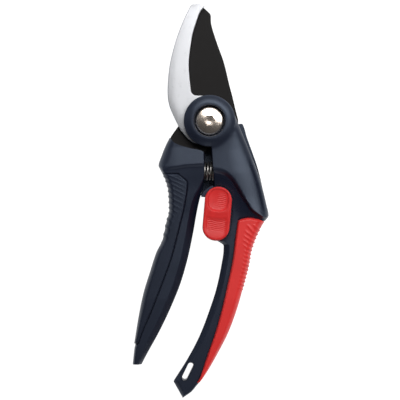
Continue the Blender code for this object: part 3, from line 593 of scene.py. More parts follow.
def blade_outline(steps=8):
    """Cutting blade: convex edge, point, back, heel lobe and a tang to the lower left."""
    tip = [(-2.5, 60.4), (-1.2, 59.2), (0.1, 58.0), (0.6, 57.2)]
    back = spline([(0.75, 56.2), (0.8, 53.4), (1.3, 50.6), (2.5, 46.6), (4.8, 39.8), (7.4, 32.7),
                   (9.1, 26.3), (10.6, 19.8), (12.3, 13.4), (13.8, 7)], steps)
    heel = arc(HEEL_R, 3, HEEL_END, 10)
    hub = arc(PLATE_HUB_R, HEEL_END - 8, -84, 16)
    tang = spline([(-0.9, -14.6), (-3.0, -17.8), (-5.4, -20.2), (-10.4, -23), (-11.9, -30),
                   (-10.6, -37), (-7.8, -47)], 4)
    end = arc(3.7, 0, -180, 9, (-11.5, -49.5))
    side = spline([(-15.6, -44), (-17.4, -34), (-20.8, -24), (-22.6, -16), (-21.2, -9.3),
                   (-16.9, -2.8)], 4)
    return np.vstack((cutting_edge(steps), tip, back, heel, hub, tang, end, side))


def cutting_edge(steps):
    """Cutting edge of the blade, from its heel up to its point."""
    return spline([(-14.2, 3.5), (-13.4, 12), (-13.9, 20), (-14.1, 28), (-13.3, 36), (-11.7, 44),
                   (-9.4, 51), (-6.6, 57), (-3.1, 60.9)], steps)


def reach(points, line):
    """Shortest distance from each point to a line of points."""
    start, run = line[:-1], np.diff(line, axis=0)
    away = points[:, None] - start
    t = np.clip(np.sum(away * run, axis=-1) / np.sum(run * run, axis=-1), 0, 1)
    return np.linalg.norm(away - t[..., None] * run, axis=-1).min(axis=1)


def within(points, outline):
    """Whether each point is inside a closed outline, by counting the edges to its right."""
    x, y = points[:, :1], points[:, 1:]
    ax, ay = outline.T
    bx, by = np.roll(outline, -1, axis=0).T
    crossed = (ay > y) != (by > y)
    rise = np.where(by == ay, 1, by - ay)
    return np.sum(crossed & (x < ax + (y - ay) * (bx - ax) / rise), axis=1) % 2 == 1


def plate(name, outline, span, radius, material, sink=None, step=1.3):
    """Flat plate with rounded rims: the plan, drawn in along a quarter circle at both faces. Its
    front is a triangulated net of points, which a function of x and y lowers."""
    low, high = span
    turn = np.radians([0, 30, 60, 90])
    inset = radius * (1 - np.cos(turn[::-1]))
    rise = radius * (1 - np.sin(turn[::-1]))
    levels = [(inset[k], low + rise[k]) for k in range(4)]
    levels += [(inset[k], high - rise[k]) for k in reversed(range(4))]
    flat = 0.06
    levels = [(radius + flat, low)] + levels + [(radius + flat, high)]
    rings = np.array([at_height(grown(outline, -inward), z) for inward, z in levels])
    rows, width = rings.shape[:2]
    edge = rings[-1, :, :2]
    least, most = edge.min(axis=0), edge.max(axis=0)
    net = np.stack(np.meshgrid(np.arange(least[0], most[0], step),
                               np.arange(least[1], most[1], step)), axis=-1).reshape(-1, 2)
    net = net[within(net, edge)]
    net = net[reach(net, np.vstack((edge, edge[:1]))) > 0.4 * step]
    spots = list(map(mathutils.Vector, np.vstack((edge, net)).tolist()))
    made = mathutils.geometry.delaunay_2d_cdt(spots, [], [list(range(width))], 1, 1e-5)
    front = at_height(np.array(made[0]), high)
    verts = np.vstack((rings.reshape(-1, 3), front))
    if sink:
        share = (verts[:, 2] - low) / (high - low)
        verts[:, 2] -= share * sink(verts[:, :2])
    faces = grid_faces(rows, width) + [list(range(width))]
    faces += (np.array(made[2]) + rows * width).tolist()
    return piece(name, verts, faces, material, sharp=40)


def bevel_tool(edge, width, low, depth, material):
    """Wedge swept along the cutting edge: it takes a ground facet off the plate's back."""
    ahead = np.gradient(edge, axis=0)
    ahead /= np.linalg.norm(ahead, axis=1)[:, None]
    inward = np.column_stack((ahead[:, 1], -ahead[:, 0]))
    corners = [(-3.0, -3.0), (-3.0, depth * (1 + 3.0 / width)), (width, 0.0), (width, -3.0)]
    rings = np.stack([at_height(edge + inward * across, low + up) for across, up in corners],
                     axis=1)
    return skin("bevel", rings, material)


def make_hook():
    """Hook whose front face falls towards its back edge: by a square of how near the edge is."""
    back = hook_back(4)
    width, fall = 4.6, 0.38

    def crown(points):
        return fall * (1 - np.clip(reach(points, back) / width, 0, 1)) ** 2

    hook = plate("hook_blade_surface", hook_outline(), HOOK_Z, 0.35, finish("satin steel"), crown)
    shaped(hook, [peg(0, 0, BUSHING_R + GAP, 0, BOSS_TOP, 64)])
    return fit(hook, "hook_half", "hook_steel", "hook_blade")


def make_cutting_blade():
    """Flat coated blade with a facet ground off its back along the cutting edge."""
    blade = plate("cutting_blade_surface", blade_outline(), BLADE_Z, 0.3, finish("blade coating"))
    edge = cutting_edge(8)
    depth = 2.5
    ground = bevel_tool(edge, size("facet"), BLADE_Z[0], depth, finish("ground steel"))
    shaped(blade, [peg(0, 0, BUSHING_R + GAP, 0, BOSS_TOP, 64), ground])
    return fit(blade, "blade_half", "blade_coating", "cutting_blade")


# ---------------------------------------------------------------- handles

def thickness(drop):
    """Share of the full thickness that a handle has, less towards its end."""
    return 1 - TAPER * ease([(95, 0), (148, 1)], drop)


def beyond(x, drop, line):
    """Distance below a line, given as drop by x, measured square to it."""
    return (drop - ease(line, x)) / np.sqrt(1 + slope_of(line, x) ** 2)


def settle(away, width, share, run):
    """Fall from 1 to 0 past a crease: a share of it within the crease's width, and the rest in a
    hollow that flattens out over a run."""
    hollow = np.clip(away / run, 0, 1)
    return 1 - share * fade(0, width, away) - (1 - share) * (1 - (1 - hollow) ** 2)


def boss_flank(radius):
    """Height of the boss: level round the bolt, then falling ever more steeply."""
    return BOSS_TOP - BOSS_SLOPE * np.clip((radius - BOSS_FLAT_R) / (BOSS_R - BOSS_FLAT_R),
                                           0, 3) ** 1.6


def right_height(x, drop, front):
    """Height of the right shell: crowned head, crease, hollow down to the strip, and the boss."""
    head, strip = (HEAD_TOP, STRIP_TOP) if front else (HEAD_BACK, STRIP_BACK)
    sign = 1 if front else -1
    recess = RECESS_TOP if front else HEAD_BACK
    low = recess + (strip - recess) * ease([(25, 0), (37, 1)], drop)
    away = beyond(x, drop, RIGHT_CREASE)
    crown = 0.6 * np.clip((14 - x) / 14, 0, 1) ** 2 + 0.9 * np.clip((28 - drop) / 20, 0, 1)
    if front:
        crown = crown + 3.0 * (1 - fade(-5, 8, drop))
    head = head - sign * crown * (1 - fade(0, 3, away))
    band = ease([(24, 5), (30, 2.6), (40, 1.8), (50, 1.4)], drop)
    z = low + (head - low) * settle(away, band, 0.62, 9.0)
    if front:
        radius = np.hypot(x, drop)
        z = np.where(drop < 22, soft_max(z, boss_flank(radius) - 0.03, 0.9), z)
    start = 53.5 - ease(GRIPS["right"]["lift"], x) * sign * 0.5 * (1 + sign)
    covered = fade(start - 0.15, start + 0.1, drop) * (1 - fade(139.9, 140.3, drop))
    return z - sign * UNDER_GRIP * fade(0, 0.4, x - ease(RIGHT_GRIP, drop)) * covered


def left_height(x, drop, front):
    """Height of the left shell: collar that rises towards its crease, then the hollow and strip."""
    head, recess = (HEAD_TOP, RECESS_TOP) if front else (HEAD_BACK, STRIP_BACK)
    sign = 1 if front else -1
    away = beyond(x, drop, LEFT_CREASE)
    rise = 0.7 * np.clip((24 - drop) / 10, 0, 1)
    side = 1.1 * np.clip((-17 - x) / 9, 0, 1.2) ** 2 * (1 - fade(0, 2, away))
    head = head - sign * (rise + side)
    z = recess + (head - recess) * settle(away, 2.0, 0.40, 14.0)
    under = fade(0, 0.4, ease(LEFT_GRIP, drop) - x)
    under = under * fade(27.7, 28.0, drop) * (1 - fade(118.9, 119.2, drop))
    return z - sign * under * (1.6 if front else 0.8)


HANDLES = {
    "right": {
        "start": (-5.0, 1.3), "end": RIGHT_REACH, "inner": RIGHT_INNER, "outer": RIGHT_OUTER,
        "grip": RIGHT_GRIP, "covered": (53.5, 140.1), "height": right_height,
        "corners": [24.7, 50.5, 53.35, 53.45, 53.55, 53.65, 63, 64.2, 140.0, 140.2, 144.6],
        "slope_in": [(33, 0.7), (45, 2.9), (130, 3.2), (148, 2.0)],
        "round_out": [(-5, 1.6), (4, 4.5), (12, 10), (20, 14), (38, 14), (47, 10), (53, 2.5),
                      (60, 1.5), (148, 1.5)],
    },
    "left": {
        "start": (7.0, 7.0), "end": LEFT_REACH, "inner": LEFT_INNER, "outer": LEFT_OUTER,
        "grip": LEFT_GRIP, "covered": (27.8, 119.1), "height": left_height,
        "corners": [22.9, 24, 25, 27.7, 27.8, 27.9, 118.9, 119.1, 119.3],
        "slope_in": [(30, 0.7), (42, 3.9), (118, 3.9), (130, 2.0)],
        "round_out": [(7, 2.5), (15, 5.0), (22, 5.5), (27, 2.0), (130, 1.6)],
    },
}


def shell(name, side, front, rows=0.5, across=66):
    """Half shell. Its sections lie at every drop, and each runs round from the split: up the
    inner wall, over a slope, across the height map, round the outer edge and down its wall."""
    facts = HANDLES[side]
    start = facts["start"][0 if front else 1]
    drops = np.arange(start, facts["end"], rows)
    drops = np.unique(np.concatenate((drops, facts["corners"], [facts["end"]])))
    drops = drops[drops >= start][:, None]
    inner = ease(facts["inner"], drops)
    outer = ease(facts["outer"], drops)
    grip = ease(facts["grip"], drops)
    way = 1.0 if side == "right" else -1.0
    if side == "right" and not front:
        outer = outer + ease(RIGHT_REAR_STEP, drops)
    first, last = facts["covered"]
    covered = fade(first - 0.1, first + 0.1, drops) * (1 - fade(last - 0.1, last + 0.1, drops))
    outer = outer - way * covered * np.minimum(GRIP_WALL, 0.45 * np.abs(outer - grip))
    width = np.abs(outer - inner)
    slope_in = np.minimum(ease(facts["slope_in"], drops), 0.4 * width)
    if not front:
        slope_in = np.minimum(slope_in, 1.5)
    round_out = np.minimum(ease(facts["round_out"], drops), 0.6 * width)
    quarter = 1 - np.cos(np.linspace(0, math.pi / 2, 10))[None]
    left = slope_in * quarter
    right = width - round_out * (1 - np.cos(np.linspace(math.pi / 2, 0, 36)))[None]
    spread = np.linspace(0, 1, across)[None, 1:-1]
    middle = slope_in + (width - slope_in - round_out) * spread
    e = np.concatenate((left, middle, right), axis=1)
    x = inner + way * e
    z = facts["height"](x, drops, front)
    base, sign = (SPLIT_HIGH, 1) if front else (SPLIT_LOW, -1)
    wall = base + sign * WALL_TOP
    power = 1 + 0.9 * (1 - ease([(33, 0), (43, 0.85)], drops))
    z = wall + (z - wall) * shoulder(e, slope_in, power) * shoulder(width - e, round_out)
    z = base + (z - base) * thickness(drops)
    foot = np.concatenate((inner, inner), axis=1)
    toe = np.concatenate((outer, outer), axis=1)
    low = base + (z[:, :1] - base) * np.array([[0, 0.5]])
    high = base + (z[:, -1:] - base) * np.array([[0.5, 0]])
    x = np.concatenate((foot, x, toe), axis=1)
    z = np.concatenate((low, z, high), axis=1)
    rings = np.stack((x, np.broadcast_to(-drops, x.shape), z), axis=-1)
    return skin(name, rings, finish("navy plastic"))


def boss_profile(low):
    """Turned boss: wall, rounded rim, and the flank."""
    turn = np.linspace(0, math.pi / 2, 8)
    rim = boss_flank(BOSS_R - 0.5) - 0.5
    edge = np.column_stack((BOSS_R - 0.5 * (1 - np.cos(turn)), rim + 0.5 * np.sin(turn)))
    radius = np.linspace(BOSS_R - 0.7, BOSS_FLAT_R - 0.6, 20)
    return [(BOSS_R, low)] + edge.tolist() + np.column_stack((radius, boss_flank(radius))).tolist()


def lanyard_tool():
    """Slot through both shells, flared at both faces like a moulded rim."""
    start, end = [np.array((x, -drop)) for x, drop in LANYARD_ENDS]
    heading = math.degrees(math.atan2(*(end - start)[::-1]))

    def outline(radius):
        return np.vstack((arc(radius, heading + 90, heading + 270, 13, start),
                          arc(radius, heading - 90, heading + 90, 13, end)))

    flare = [(0.9, -1.0), (0, 2.6), (0, 13.2), (0.25, 13.7), (0.8, 14.1), (1.9, 15.0)]
    return skin("slot", [at_height(outline(LANYARD_R + wider), z) for wider, z in flare])


def spring_room(side):
    """Round pocket in the inner side of a handle, where the coil's end sits."""
    bottom, mouth = (9.2, -1.0) if side == "right" else (-10.2, 1.0)
    radius = SPRING_R + COIL_ROOM
    return turned("pocket", [(radius, bottom), (radius, mouth)], steps=48,
                  centre=(0, SPRING_Y, SPLIT), axis=0)


def tongue_room():
    """Track of the lock's tongue inside the right shell, with a window towards the left handle."""
    half = TONGUE_HALF + LOCK_ROOM
    low = TONGUE_ENDS[0] - LOCK_TRAVEL - LOCK_ROOM
    high = TONGUE_ENDS[1] + LOCK_ROOM
    window = TAB_LOW - LOCK_TRAVEL - LOCK_ROOM
    track = [(-half, low), (half, low), (half, high), (-14, high), (-14, window), (-half, window)]
    return slab("track", on_lock(track), *TONGUE_Z)


def guide_room():
    """Pocket for the lock's guide."""
    return slab("guide", on_lock(stadium(*GUIDE_SIZE, 16)), GUIDE_Z, BOSS_TOP)


def slider_moat():
    """Shallow seat round the slider."""
    plan = stadium(LOCK_LENGTH + 2 * MOAT_GAP, LOCK_WIDTH + 2 * MOAT_GAP, 32)
    return slab("moat", on_lock(plan), MOAT_Z, BOSS_TOP)


def screw_room(places, front):
    """Bores for a handle's screws, and in its back shell the seats of their heads."""
    if front:
        return [peg(x, -drop, SCREW_BORE, SPLIT_HIGH - 1, SCREW_TOP, 24) for x, drop in places]
    seats = [peg(x, -drop, SCREW_HEAD, -1, SCREW_SEAT, 32) for x, drop in places]
    return seats + [peg(x, -drop, SCREW_BORE, 4, SPLIT_LOW + 1, 24) for x, drop in places]


def make_right_front():
    """Front shell with the boss, hollowed for the hook, the bolt, the coil and the lock."""
    front = shell("right_front_surface", "right", True)
    boss = turned("boss", boss_profile(HOOK_Z[1] + GAP), steps=160)
    shaped(front, [boss], "UNION")
    hub = peg(0, 0, BOSS_R + 1.5, SPLIT_HIGH - 1, HOOK_Z[1] + GAP, 96)
    tang = slab("tang", grown(hook_outline(3), GAP), SPLIT_HIGH - 1, HOOK_Z[1] + GAP)
    lip = BOLT_HEAD_R + size("bolt_gap")
    floor = BOLT_Z[1] - HEAD_SEAT
    bore = turned("bore", [(lip, floor), (lip, BOSS_TOP - 0.5), (lip + 0.12, BOSS_TOP - 0.25),
                           (lip + 0.55, BOSS_TOP + 0.1), (lip + 1.6, BOSS_TOP + 0.6)], steps=128)
    inner = peg(0, 0, BUSHING_R + GAP, SPLIT_HIGH - 1, BOSS_TOP, 64)
    rooms = [hub, tang, bore, inner, lanyard_tool(), spring_room("right"), tongue_room(),
             guide_room(), slider_moat()]
    shaped(front, rooms + screw_room(RIGHT_SCREWS, True))
    fit(front, "hook_half", "navy_plastic", "right_handle_front")


def make_right_back():
    """Back shell with the round base, hollowed for the blade's sweep, the nut and the coil."""
    back = shell("right_back_surface", "right", False)
    base = turned("base", [(BOSS_R - 0.8, 0), (BOSS_R - 0.25, 0.25), (BOSS_R, 0.8),
                           (BOSS_R, BLADE_Z[0] - GAP)], steps=160)
    ledge = np.vstack((arc(BOSS_R + 0.7, -96, -76, 12), arc(BOSS_R - 1, -76, -96, 12)))
    shelf = slab("shelf", ledge, STRIP_BACK - 1.3, STRIP_BACK - 0.3)
    shaped(back, [base, shelf], "UNION")
    stop = HEEL_END - OPEN_ANGLE - 3
    sweep = np.vstack((arc(HEEL_R + 0.8, stop, 75, 32),
                       arc(PLATE_HUB_R + 0.8, 90, 360 + stop - 2, 48)))
    room = slab("sweep", sweep, BLADE_Z[0] - GAP, SPLIT_LOW + 1)
    nut = slab("nut", grown(hexagon(NUT_FLATS), GAP), -1, NUT_TOP + NUT_SEAT + GAP)
    shank = peg(0, 0, SHANK_R, -1, SPLIT_LOW, 48)
    rooms = [room, nut, shank, lanyard_tool(), spring_room("right"), closing_web(0.35)]
    shaped(back, rooms + screw_room(RIGHT_SCREWS, False))
    fit(back, "hook_half", "navy_plastic", "right_handle_back")


def closing_web(room=0.0):
    """Thin floor under the coil: it reaches from the left back shell into a groove of the right
    one, with some room round it. Its sides follow the handles' inner sides, and its top end runs
    round the boss."""
    first, last = 14.2, 39.8
    drops = np.linspace(first, last, 40)
    right = np.minimum(ease(RIGHT_INNER, drops) + 0.5, ease([(36.5, 3), (last, -2.5)], drops))
    left = ease(LEFT_INNER, drops) - ease([(first, 1.5), (18, 4.0)], drops)
    round_boss = arc(BOSS_R + 0.15, -85, -110, 8)
    plan = np.vstack((np.column_stack((right, -drops)), np.column_stack((left, -drops))[::-1],
                      round_boss[::-1]))
    return slab("web", grown(plan, room), STRIP_BACK + 0.1 - room, STRIP_BACK + 1.4 + room)


def collar_trim():
    """Tool that cuts the left handle off along the collar's upper edge."""
    edge = spline([(x, -drop) for x, drop in COLLAR_EDGE], 8)
    return slab("trim", np.vstack((edge, [(2, 6), (-32, 6)])), -2, BOSS_TOP + 2)


def make_left_front():
    """Front shell with the collar."""
    front = shell("left_front_surface", "left", True)
    shaped(front, [collar_trim(), spring_room("left")] + screw_room(LEFT_SCREWS, True))
    fit(front, "blade_half", "navy_plastic", "left_handle_front")


def make_left_back():
    """Back shell with the web under the coil, hollowed for the blade's tang."""
    back = shell("left_back_surface", "left", False)
    shaped(back, [collar_trim()])
    shaped(back, [closing_web()], "UNION")
    tang = slab("tang", grown(blade_outline(3), GAP), BLADE_Z[0] - GAP, SPLIT_LOW + 1)
    shaped(back, [spring_room("left"), tang] + screw_room(LEFT_SCREWS, False))
    fit(back, "blade_half", "navy_plastic", "left_handle_back")


# ---------------------------------------------------------------- grips

GRIPS = {
    "right": {
        "start": 53.9, "end": 139.8, "bulge": 0.9, "lean": 0.55, "round": 3.4,
        "lift": [(13, 0.2), (15, 0.6), (16.5, 1.4), (21, 2.3), (25, 1.7), (29.2, 0.8), (31, 0.6)],
        "phase": [(40, -8.4), (57.6, 0), (89.1, 15), (110, 25)],
        "from": (56.2, 57.0), "to": (89.6, 91.0), "depth": "right_ribs", "face": 0.64,
        "length": [(55, 8.8), (60, 7.8), (65.5, 6.4), (68.5, 4.6), (75, 4.2), (85, 3.6),
                   (91, 3.0)],
    },
    "left": {
        "start": 28.0, "end": 118.8, "bulge": 0.5, "lean": 0.55, "round": 3.0,
        "lift": [(-28, 0), (0, 0)],
        "phase": [(20, -3.2), (28.5, 0), (36.1, 3), (44.9, 6), (50.6, 8), (54, 9), (58.1, 10),
                  (62.8, 11), (72, 13)],
        "from": (28.2, 29.0), "to": (63.5, 66.0), "depth": "left_ribs", "face": 0.15,
        "length": [(28, 11), (38, 9.5), (46, 7.5), (52, 4.4), (66, 3.4)],
    },
}


def sleeve(name, side, material, rows=0.2, across=60):
    """Soft grip round a handle's outer side. Each section runs from its front border over the
    face, round the outer side and over the back, then back along its inside. Slanted ribs are
    cut into it along its normal: a raised cosine of a phase that grows with the drop and leans
    across the face."""
    facts, edges = GRIPS[side], HANDLES[side]
    way = 1.0 if side == "right" else -1.0
    band = (facts["from"][0] - 1.5, facts["to"][1] + 1)
    drops = np.concatenate((np.arange(facts["start"], band[0], 0.4), np.arange(*band, rows),
                            np.arange(band[1], facts["end"], 0.6)))
    rim = facts["start"] + 1.2 * (1 - np.cos(np.linspace(0, math.pi / 2, 8)))
    tail = facts["end"] - 1.2 * (1 - np.cos(np.linspace(0, math.pi / 2, 8)))
    drops = np.unique(np.round(np.concatenate((rim, drops, tail)), 3))[:, None]
    border = ease(edges["grip"], drops) + way * 0.15
    outer = ease(edges["outer"], drops)
    full = np.abs(outer - border)
    lean = 1 / np.sqrt(1 + slope_of(edges["grip"], drops) ** 2)
    round_out = np.minimum(facts["round"], 0.42 * full)

    quarter = np.linspace(0, math.pi / 2, 8)
    lip = np.minimum(1.1, 0.25 * full)
    near = lip * (1 - np.cos(quarter))[None]
    far = full - round_out * (1 - np.cos(quarter[::-1]))[None]
    spread = np.linspace(0, 1, across)[None, 1:-1]
    middle = lip + (full - lip - round_out) * spread
    e = np.concatenate((near, middle, far), axis=1)
    x = border + way * e
    end_round = shoulder(drops - facts["start"], 1.2) * shoulder(facts["end"] - drops, 1.2)
    across_share = np.clip((e - lip) / (full - lip), 0, 1)

    def face(top, strip, wall):
        crown = top - facts["bulge"] * across_share ** 2 * np.sign(top - SPLIT)
        z = strip + (crown - strip) * shoulder(e * lean, lip * lean) * end_round
        z = wall + (z - wall) * shoulder(full - e, round_out)
        return SPLIT + (z - SPLIT) * thickness(drops)

    strip = STRIP_TOP if side == "right" else RECESS_TOP
    front_z = face(GRIP_TOP, strip - 0.2, SPLIT + 2.2)
    back_z = face(0.0, STRIP_BACK + 0.2, SPLIT - 2.2)
    inside_top = SPLIT_HIGH + (strip - UNDER_GRIP - (1.1 if side == "left" else 0) - SPLIT_HIGH
                               + GAP) * thickness(drops)
    inside_low = SPLIT_LOW - (SPLIT_LOW - STRIP_BACK - UNDER_GRIP + GAP) * thickness(drops)
    core = outer - way * (np.minimum(GRIP_WALL, 0.45 * (full + GAP)) - GAP)
    pocket_x = np.concatenate((border, core - way * 1.2, core, core, core - way * 1.2, border),
                              axis=1)
    pocket_z = np.concatenate((inside_low, inside_low, inside_low + 2.0, inside_top - 2.0,
                               inside_top, inside_top), axis=1)

    ring_x = np.concatenate((x, x[:, ::-1]), axis=1)
    ring_z = np.concatenate((front_z, back_z[:, ::-1]), axis=1)
    cut_x, cut_z = ribs(facts, ring_x, ring_z, drops, outer, way)
    ring_x = np.concatenate((ring_x + cut_x, pocket_x), axis=1)
    ring_z = np.concatenate((ring_z + cut_z, pocket_z), axis=1)
    lift = ease(facts["lift"], x) * shoulder(full - e, round_out) * (
        1 - fade(0, 6, drops - facts["start"]))
    ring_y = np.broadcast_to(-drops, ring_x.shape).copy()
    ring_y[:, :lift.shape[1]] += lift
    rings = np.stack((ring_x, ring_y, ring_z), axis=-1)
    return skin(name, rings, material, sharp=60)


def ribs(facts, x, z, drops, outer, way):
    """Offsets that cut the ribs: along the section's normal, deepest at the outer side."""
    along_x, along_z = np.gradient(x, axis=1), np.gradient(z, axis=1)
    norm = np.hypot(along_x, along_z) + 1e-9
    normal_x, normal_z = way * -along_z / norm, way * along_x / norm
    inwards = np.abs(outer - x)
    length = ease(facts["length"], drops)
    run = 1 - fade(length - 2.6, length + 0.3, inwards)
    band = fade(*facts["from"], drops) * (1 - fade(*facts["to"], drops))
    slant = facts["lean"] * x
    phase = ease(facts["phase"], drops - slant + facts["lean"] * outer)
    groove = (0.5 - 0.5 * np.cos(2 * math.pi * phase)) ** 2.5
    outside = 1 - fade(0.6, 3.5, inwards)
    share = facts["face"] + (1 - facts["face"]) * outside
    depth = size(facts["depth"]) * share * groove * run * band
    return normal_x * depth, normal_z * depth


def make_right_grip():
    """Red sleeve of the right handle."""
    grip = sleeve("right_grip_surface", "right", finish("red rubber"))
    fit(grip, "hook_half", "red_rubber", "right_grip")


def make_left_grip():
    """Dark sleeve of the left handle."""
    grip = sleeve("left_grip_surface", "left", finish("navy rubber"))
    fit(grip, "blade_half", "black_rubber", "left_grip")


# ---------------------------------------------------------------- pivot

def make_pivot():
    """Bolt: shank, head with a chamfered underside, rounded rim and shallow dome, and a hexagon
    with a flared mouth and a dished floor. The CAD keeps the other pieces of the pivot."""
    low, top = BOLT_Z
    head = top - 2.9
    shank = 4.0
    edge = BOLT_HEAD_R + 0.2
    rim_width, rim_drop, rim_rise = 0.9, 2.4, 1.1
    turn = np.radians(np.arange(0, 75, 6))
    rim = np.column_stack((edge - rim_width + rim_width * np.cos(turn),
                           top - rim_drop + rim_rise * np.sin(turn)))
    radius = np.linspace(edge - rim_width, 0.35, 20)
    dome = np.column_stack((radius, top - radius ** 2 / 40))
    profile = [(shank, low), (shank, head), (edge - 0.25, head), (edge, head + 0.25)]
    bolt = turned("pivot_bolt_surface", profile + rim.tolist() + dome.tolist(),
                  finish("bolt chrome"), steps=128, sharp=35)
    flats, floor = size("hex_flats"), top - size("hex_depth")
    socket = skin("socket", [at_height(hexagon(flats), floor), at_height(hexagon(flats), top - 0.3),
                             at_height(hexagon(flats + 0.8), top + 0.1)], finish("bolt chrome"))
    drill = turned("drill", [(0.1, floor - 0.6), (0.5, floor - 0.2), (2.2, floor + 0.05)],
                   finish("cast steel"), steps=48)
    shaped(bolt, [socket, drill], sharp=35)
    fit(bolt, "hook_half", "bolt_chrome", "pivot_bolt")
    dress("pivot_nut", "zinc")
    dress("spring_washer", "spring steel")
    dress("bolt_washer", "zinc")
    dress("pivot_bushing", "bronze")


# ---------------------------------------------------------------- spring

def make_spring(around=12):
    """Coil: a circle of wire carried along a helix of even pitch."""
    turns = bpy.context.scene.shears_sizes.coil_turns
    wire = size("coil_wire")
    radius = SPRING_R - wire
    t = np.linspace(0, 1, int(turns * 36) + 1)
    angle = 2 * math.pi * (turns * t + SPRING_PHASE)
    first, last = SPRING_X[1] - wire, SPRING_X[0] + wire
    along = first + (last - first) * t
    pitch = (last - first) / turns / (2 * math.pi)
    out = np.column_stack((np.zeros_like(t), np.cos(angle), np.sin(angle)))
    centre = np.column_stack((along, np.full_like(t, SPRING_Y), np.full_like(t, SPLIT)))
    centre += radius * out
    ahead = np.column_stack((np.full_like(t, pitch), -radius * np.sin(angle),
                             radius * np.cos(angle)))
    ahead /= np.linalg.norm(ahead, axis=1)[:, None]
    side = np.cross(ahead, out)
    a = np.linspace(0, 2 * math.pi, around, endpoint=False)[None, :, None]
    rings = centre[:, None] + wire * (np.cos(a) * out[:, None] + np.sin(a) * side[:, None])
    coil = skin("coil_spring_surface", rings, finish("spring steel"), sharp=60)
    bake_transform(coil)
    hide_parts("coil_spring")
    dress("spring_stud_right", "dark plastic")
    dress("spring_stud_left", "dark plastic")


# ---------------------------------------------------------------- lock

def slider_height(x, y):
    """Height of the slider's top against its highest level. x and y are in the slider's own
    frame. A squarish bowl takes the thumb above a curved crest; below it a ridge falls steeply
    into a scoop that rises to the lower end. Fine ribs are pressed into both floors."""
    bowl = ((np.abs(x) / 6.0) ** 2.6 + (np.abs(y - 7.4) / 6.4) ** 2.6) ** (1 / 2.6)
    upper = 0.75 * (1 - fade(0.80, 1.0, bowl)) + 0.6 * (1 - np.clip(bowl, 0, 1) ** 2)
    past = 1.1 + 0.03 * x**2 - y
    side = 1 - fade(0.60, 1.0, np.abs(x) / 6.9)
    fall = 0.25 * fade(0.2, 2.8, past) + 0.65 * fade(2.5, 5.4, past)
    lower = fall * side * (1 - fade(5.5, 14.2, -y))
    pattern = 0.5 + 0.5 * np.cos(2 * math.pi * (y + 0.10 * x + 0.12 * np.cos(1.3 * x)) / 1.0)
    ribbed = fade(0.9, 1.15, upper) * fade(-1.5, 1.5, x) + fade(0.4, 0.75, lower)
    return -upper - lower - size("slider_ribs") * pattern * ribbed


def make_lock():
    """The slider is a grid over its stadium plan: one parameter runs round the outline, the
    other from its middle line out to the wall and down it."""
    half = (LOCK_LENGTH - LOCK_WIDTH) / 2
    side = np.linspace(-half, half, 100)[1:-1]
    edge = np.full(98, LOCK_WIDTH / 2)
    outline = np.vstack((arc(LOCK_WIDTH / 2, 0, 180, 81, (0, half)),
                         np.column_stack((-edge, side[::-1])),
                         arc(LOCK_WIDTH / 2, 180, 360, 81, (0, -half)),
                         np.column_stack((edge, side))))
    spine = np.column_stack((np.zeros(len(outline)), np.clip(outline[:, 1], -half, half)))
    share = np.linspace(0, 1, 56) ** 0.9
    plan = spine + (outline - spine) * share[::-1, None, None]
    x, y = plan[..., 0], plan[..., 1]
    depth = (1 - share[::-1, None]) * LOCK_WIDTH / 2
    z = SLIDER_TOP + slider_height(x, y)
    foot = SLIDER_TOP - 1.3
    z = foot + (z - foot) * shoulder(depth, 1.5)
    rings = [np.column_stack((on_lock(outline * (1 - 0.02)), np.full(len(outline), SLIDER_Z))),
             np.column_stack((on_lock(outline), np.full(len(outline), SLIDER_Z + 0.3)))]
    rings += [np.column_stack((on_lock(p), h)) for p, h in zip(plan, z)]
    slider = skin("lock_slider_surface", np.array(rings), finish("red plastic"), sharp=50,
                  last_cap=False)
    fit(slider, "lock", "red_plastic", "lock_slider")
    dress("lock_tongue", "blued steel")
    dress("lock_rivet", "zinc")
    dress("lock_guide", "navy plastic")
    dress("lock_guide_screw", "zinc")
    dress("lock_click_spring", "spring steel")


# ---------------------------------------------------------------- studio

# In metres: the middle of the view, its width and the height of the tool's face
MIDDLE = (-0.0051, -0.0422)
VIEW_WIDTH = 0.214
TABLE_TO_FACE = 0.012
SENSOR = 36.0           # in millimetres


def area_light(name, place, aim, size, power, colour):
    """Softbox at a place, aimed at a point, in metres."""
    light = bpy.data.lights.new(name, "AREA")
    light.shape = "RECTANGLE"
    light.size, light.size_y = size
    light.energy = power
    light.color = colour
    obj = bpy.data.objects.new(name, light)
    bpy.context.scene.collection.objects.link(obj)
    towards = np.array(aim, float) - np.array(place, float)
    flat = math.hypot(towards[0], towards[1])
    obj.rotation_euler = (math.atan2(flat, -towards[2]), 0,
                          math.atan2(towards[1], towards[0]) - math.pi / 2)
    obj.location = place
    return obj


def make_floor():
    """Pale table top that gives off light of its own."""
    studio = bpy.context.scene.shears_studio
    half, level = 1500.0, -0.15
    corners = [(-half, -half, level), (half, -half, level), (half, half, level),
               (-half, half, level)]
    floor = piece("floor", corners, [[0, 1, 2, 3]])
    paper = Finish("paper", specular_ior_level=0.2, emission_strength=studio.floor_glow,
                   emission_color=(1, 1, 1, 1))
    tint = paper.noise(4.0, 2.0)
    floor.data.materials.append(paper.feed(
        base_color=paper.mixed((0.20, 0.20, 0.21, 1), (0.24, 0.24, 0.24, 1), tint),
        roughness=tint * 0.1 + 0.7))


def make_camera():
    """Camera straight above the middle of the closed tool, its lens set by the view's width."""
    distance = bpy.context.scene.shears_studio.camera_distance
    camera = bpy.data.objects.new("camera", bpy.data.cameras.new("camera"))
    bpy.context.scene.collection.objects.link(camera)
    camera.location = (*MIDDLE, distance + TABLE_TO_FACE)
    camera.data.sensor_width = SENSOR
    camera.data.lens = SENSOR * distance / VIEW_WIDTH
    camera.data.clip_start = 0.01
    bpy.context.scene.camera = camera


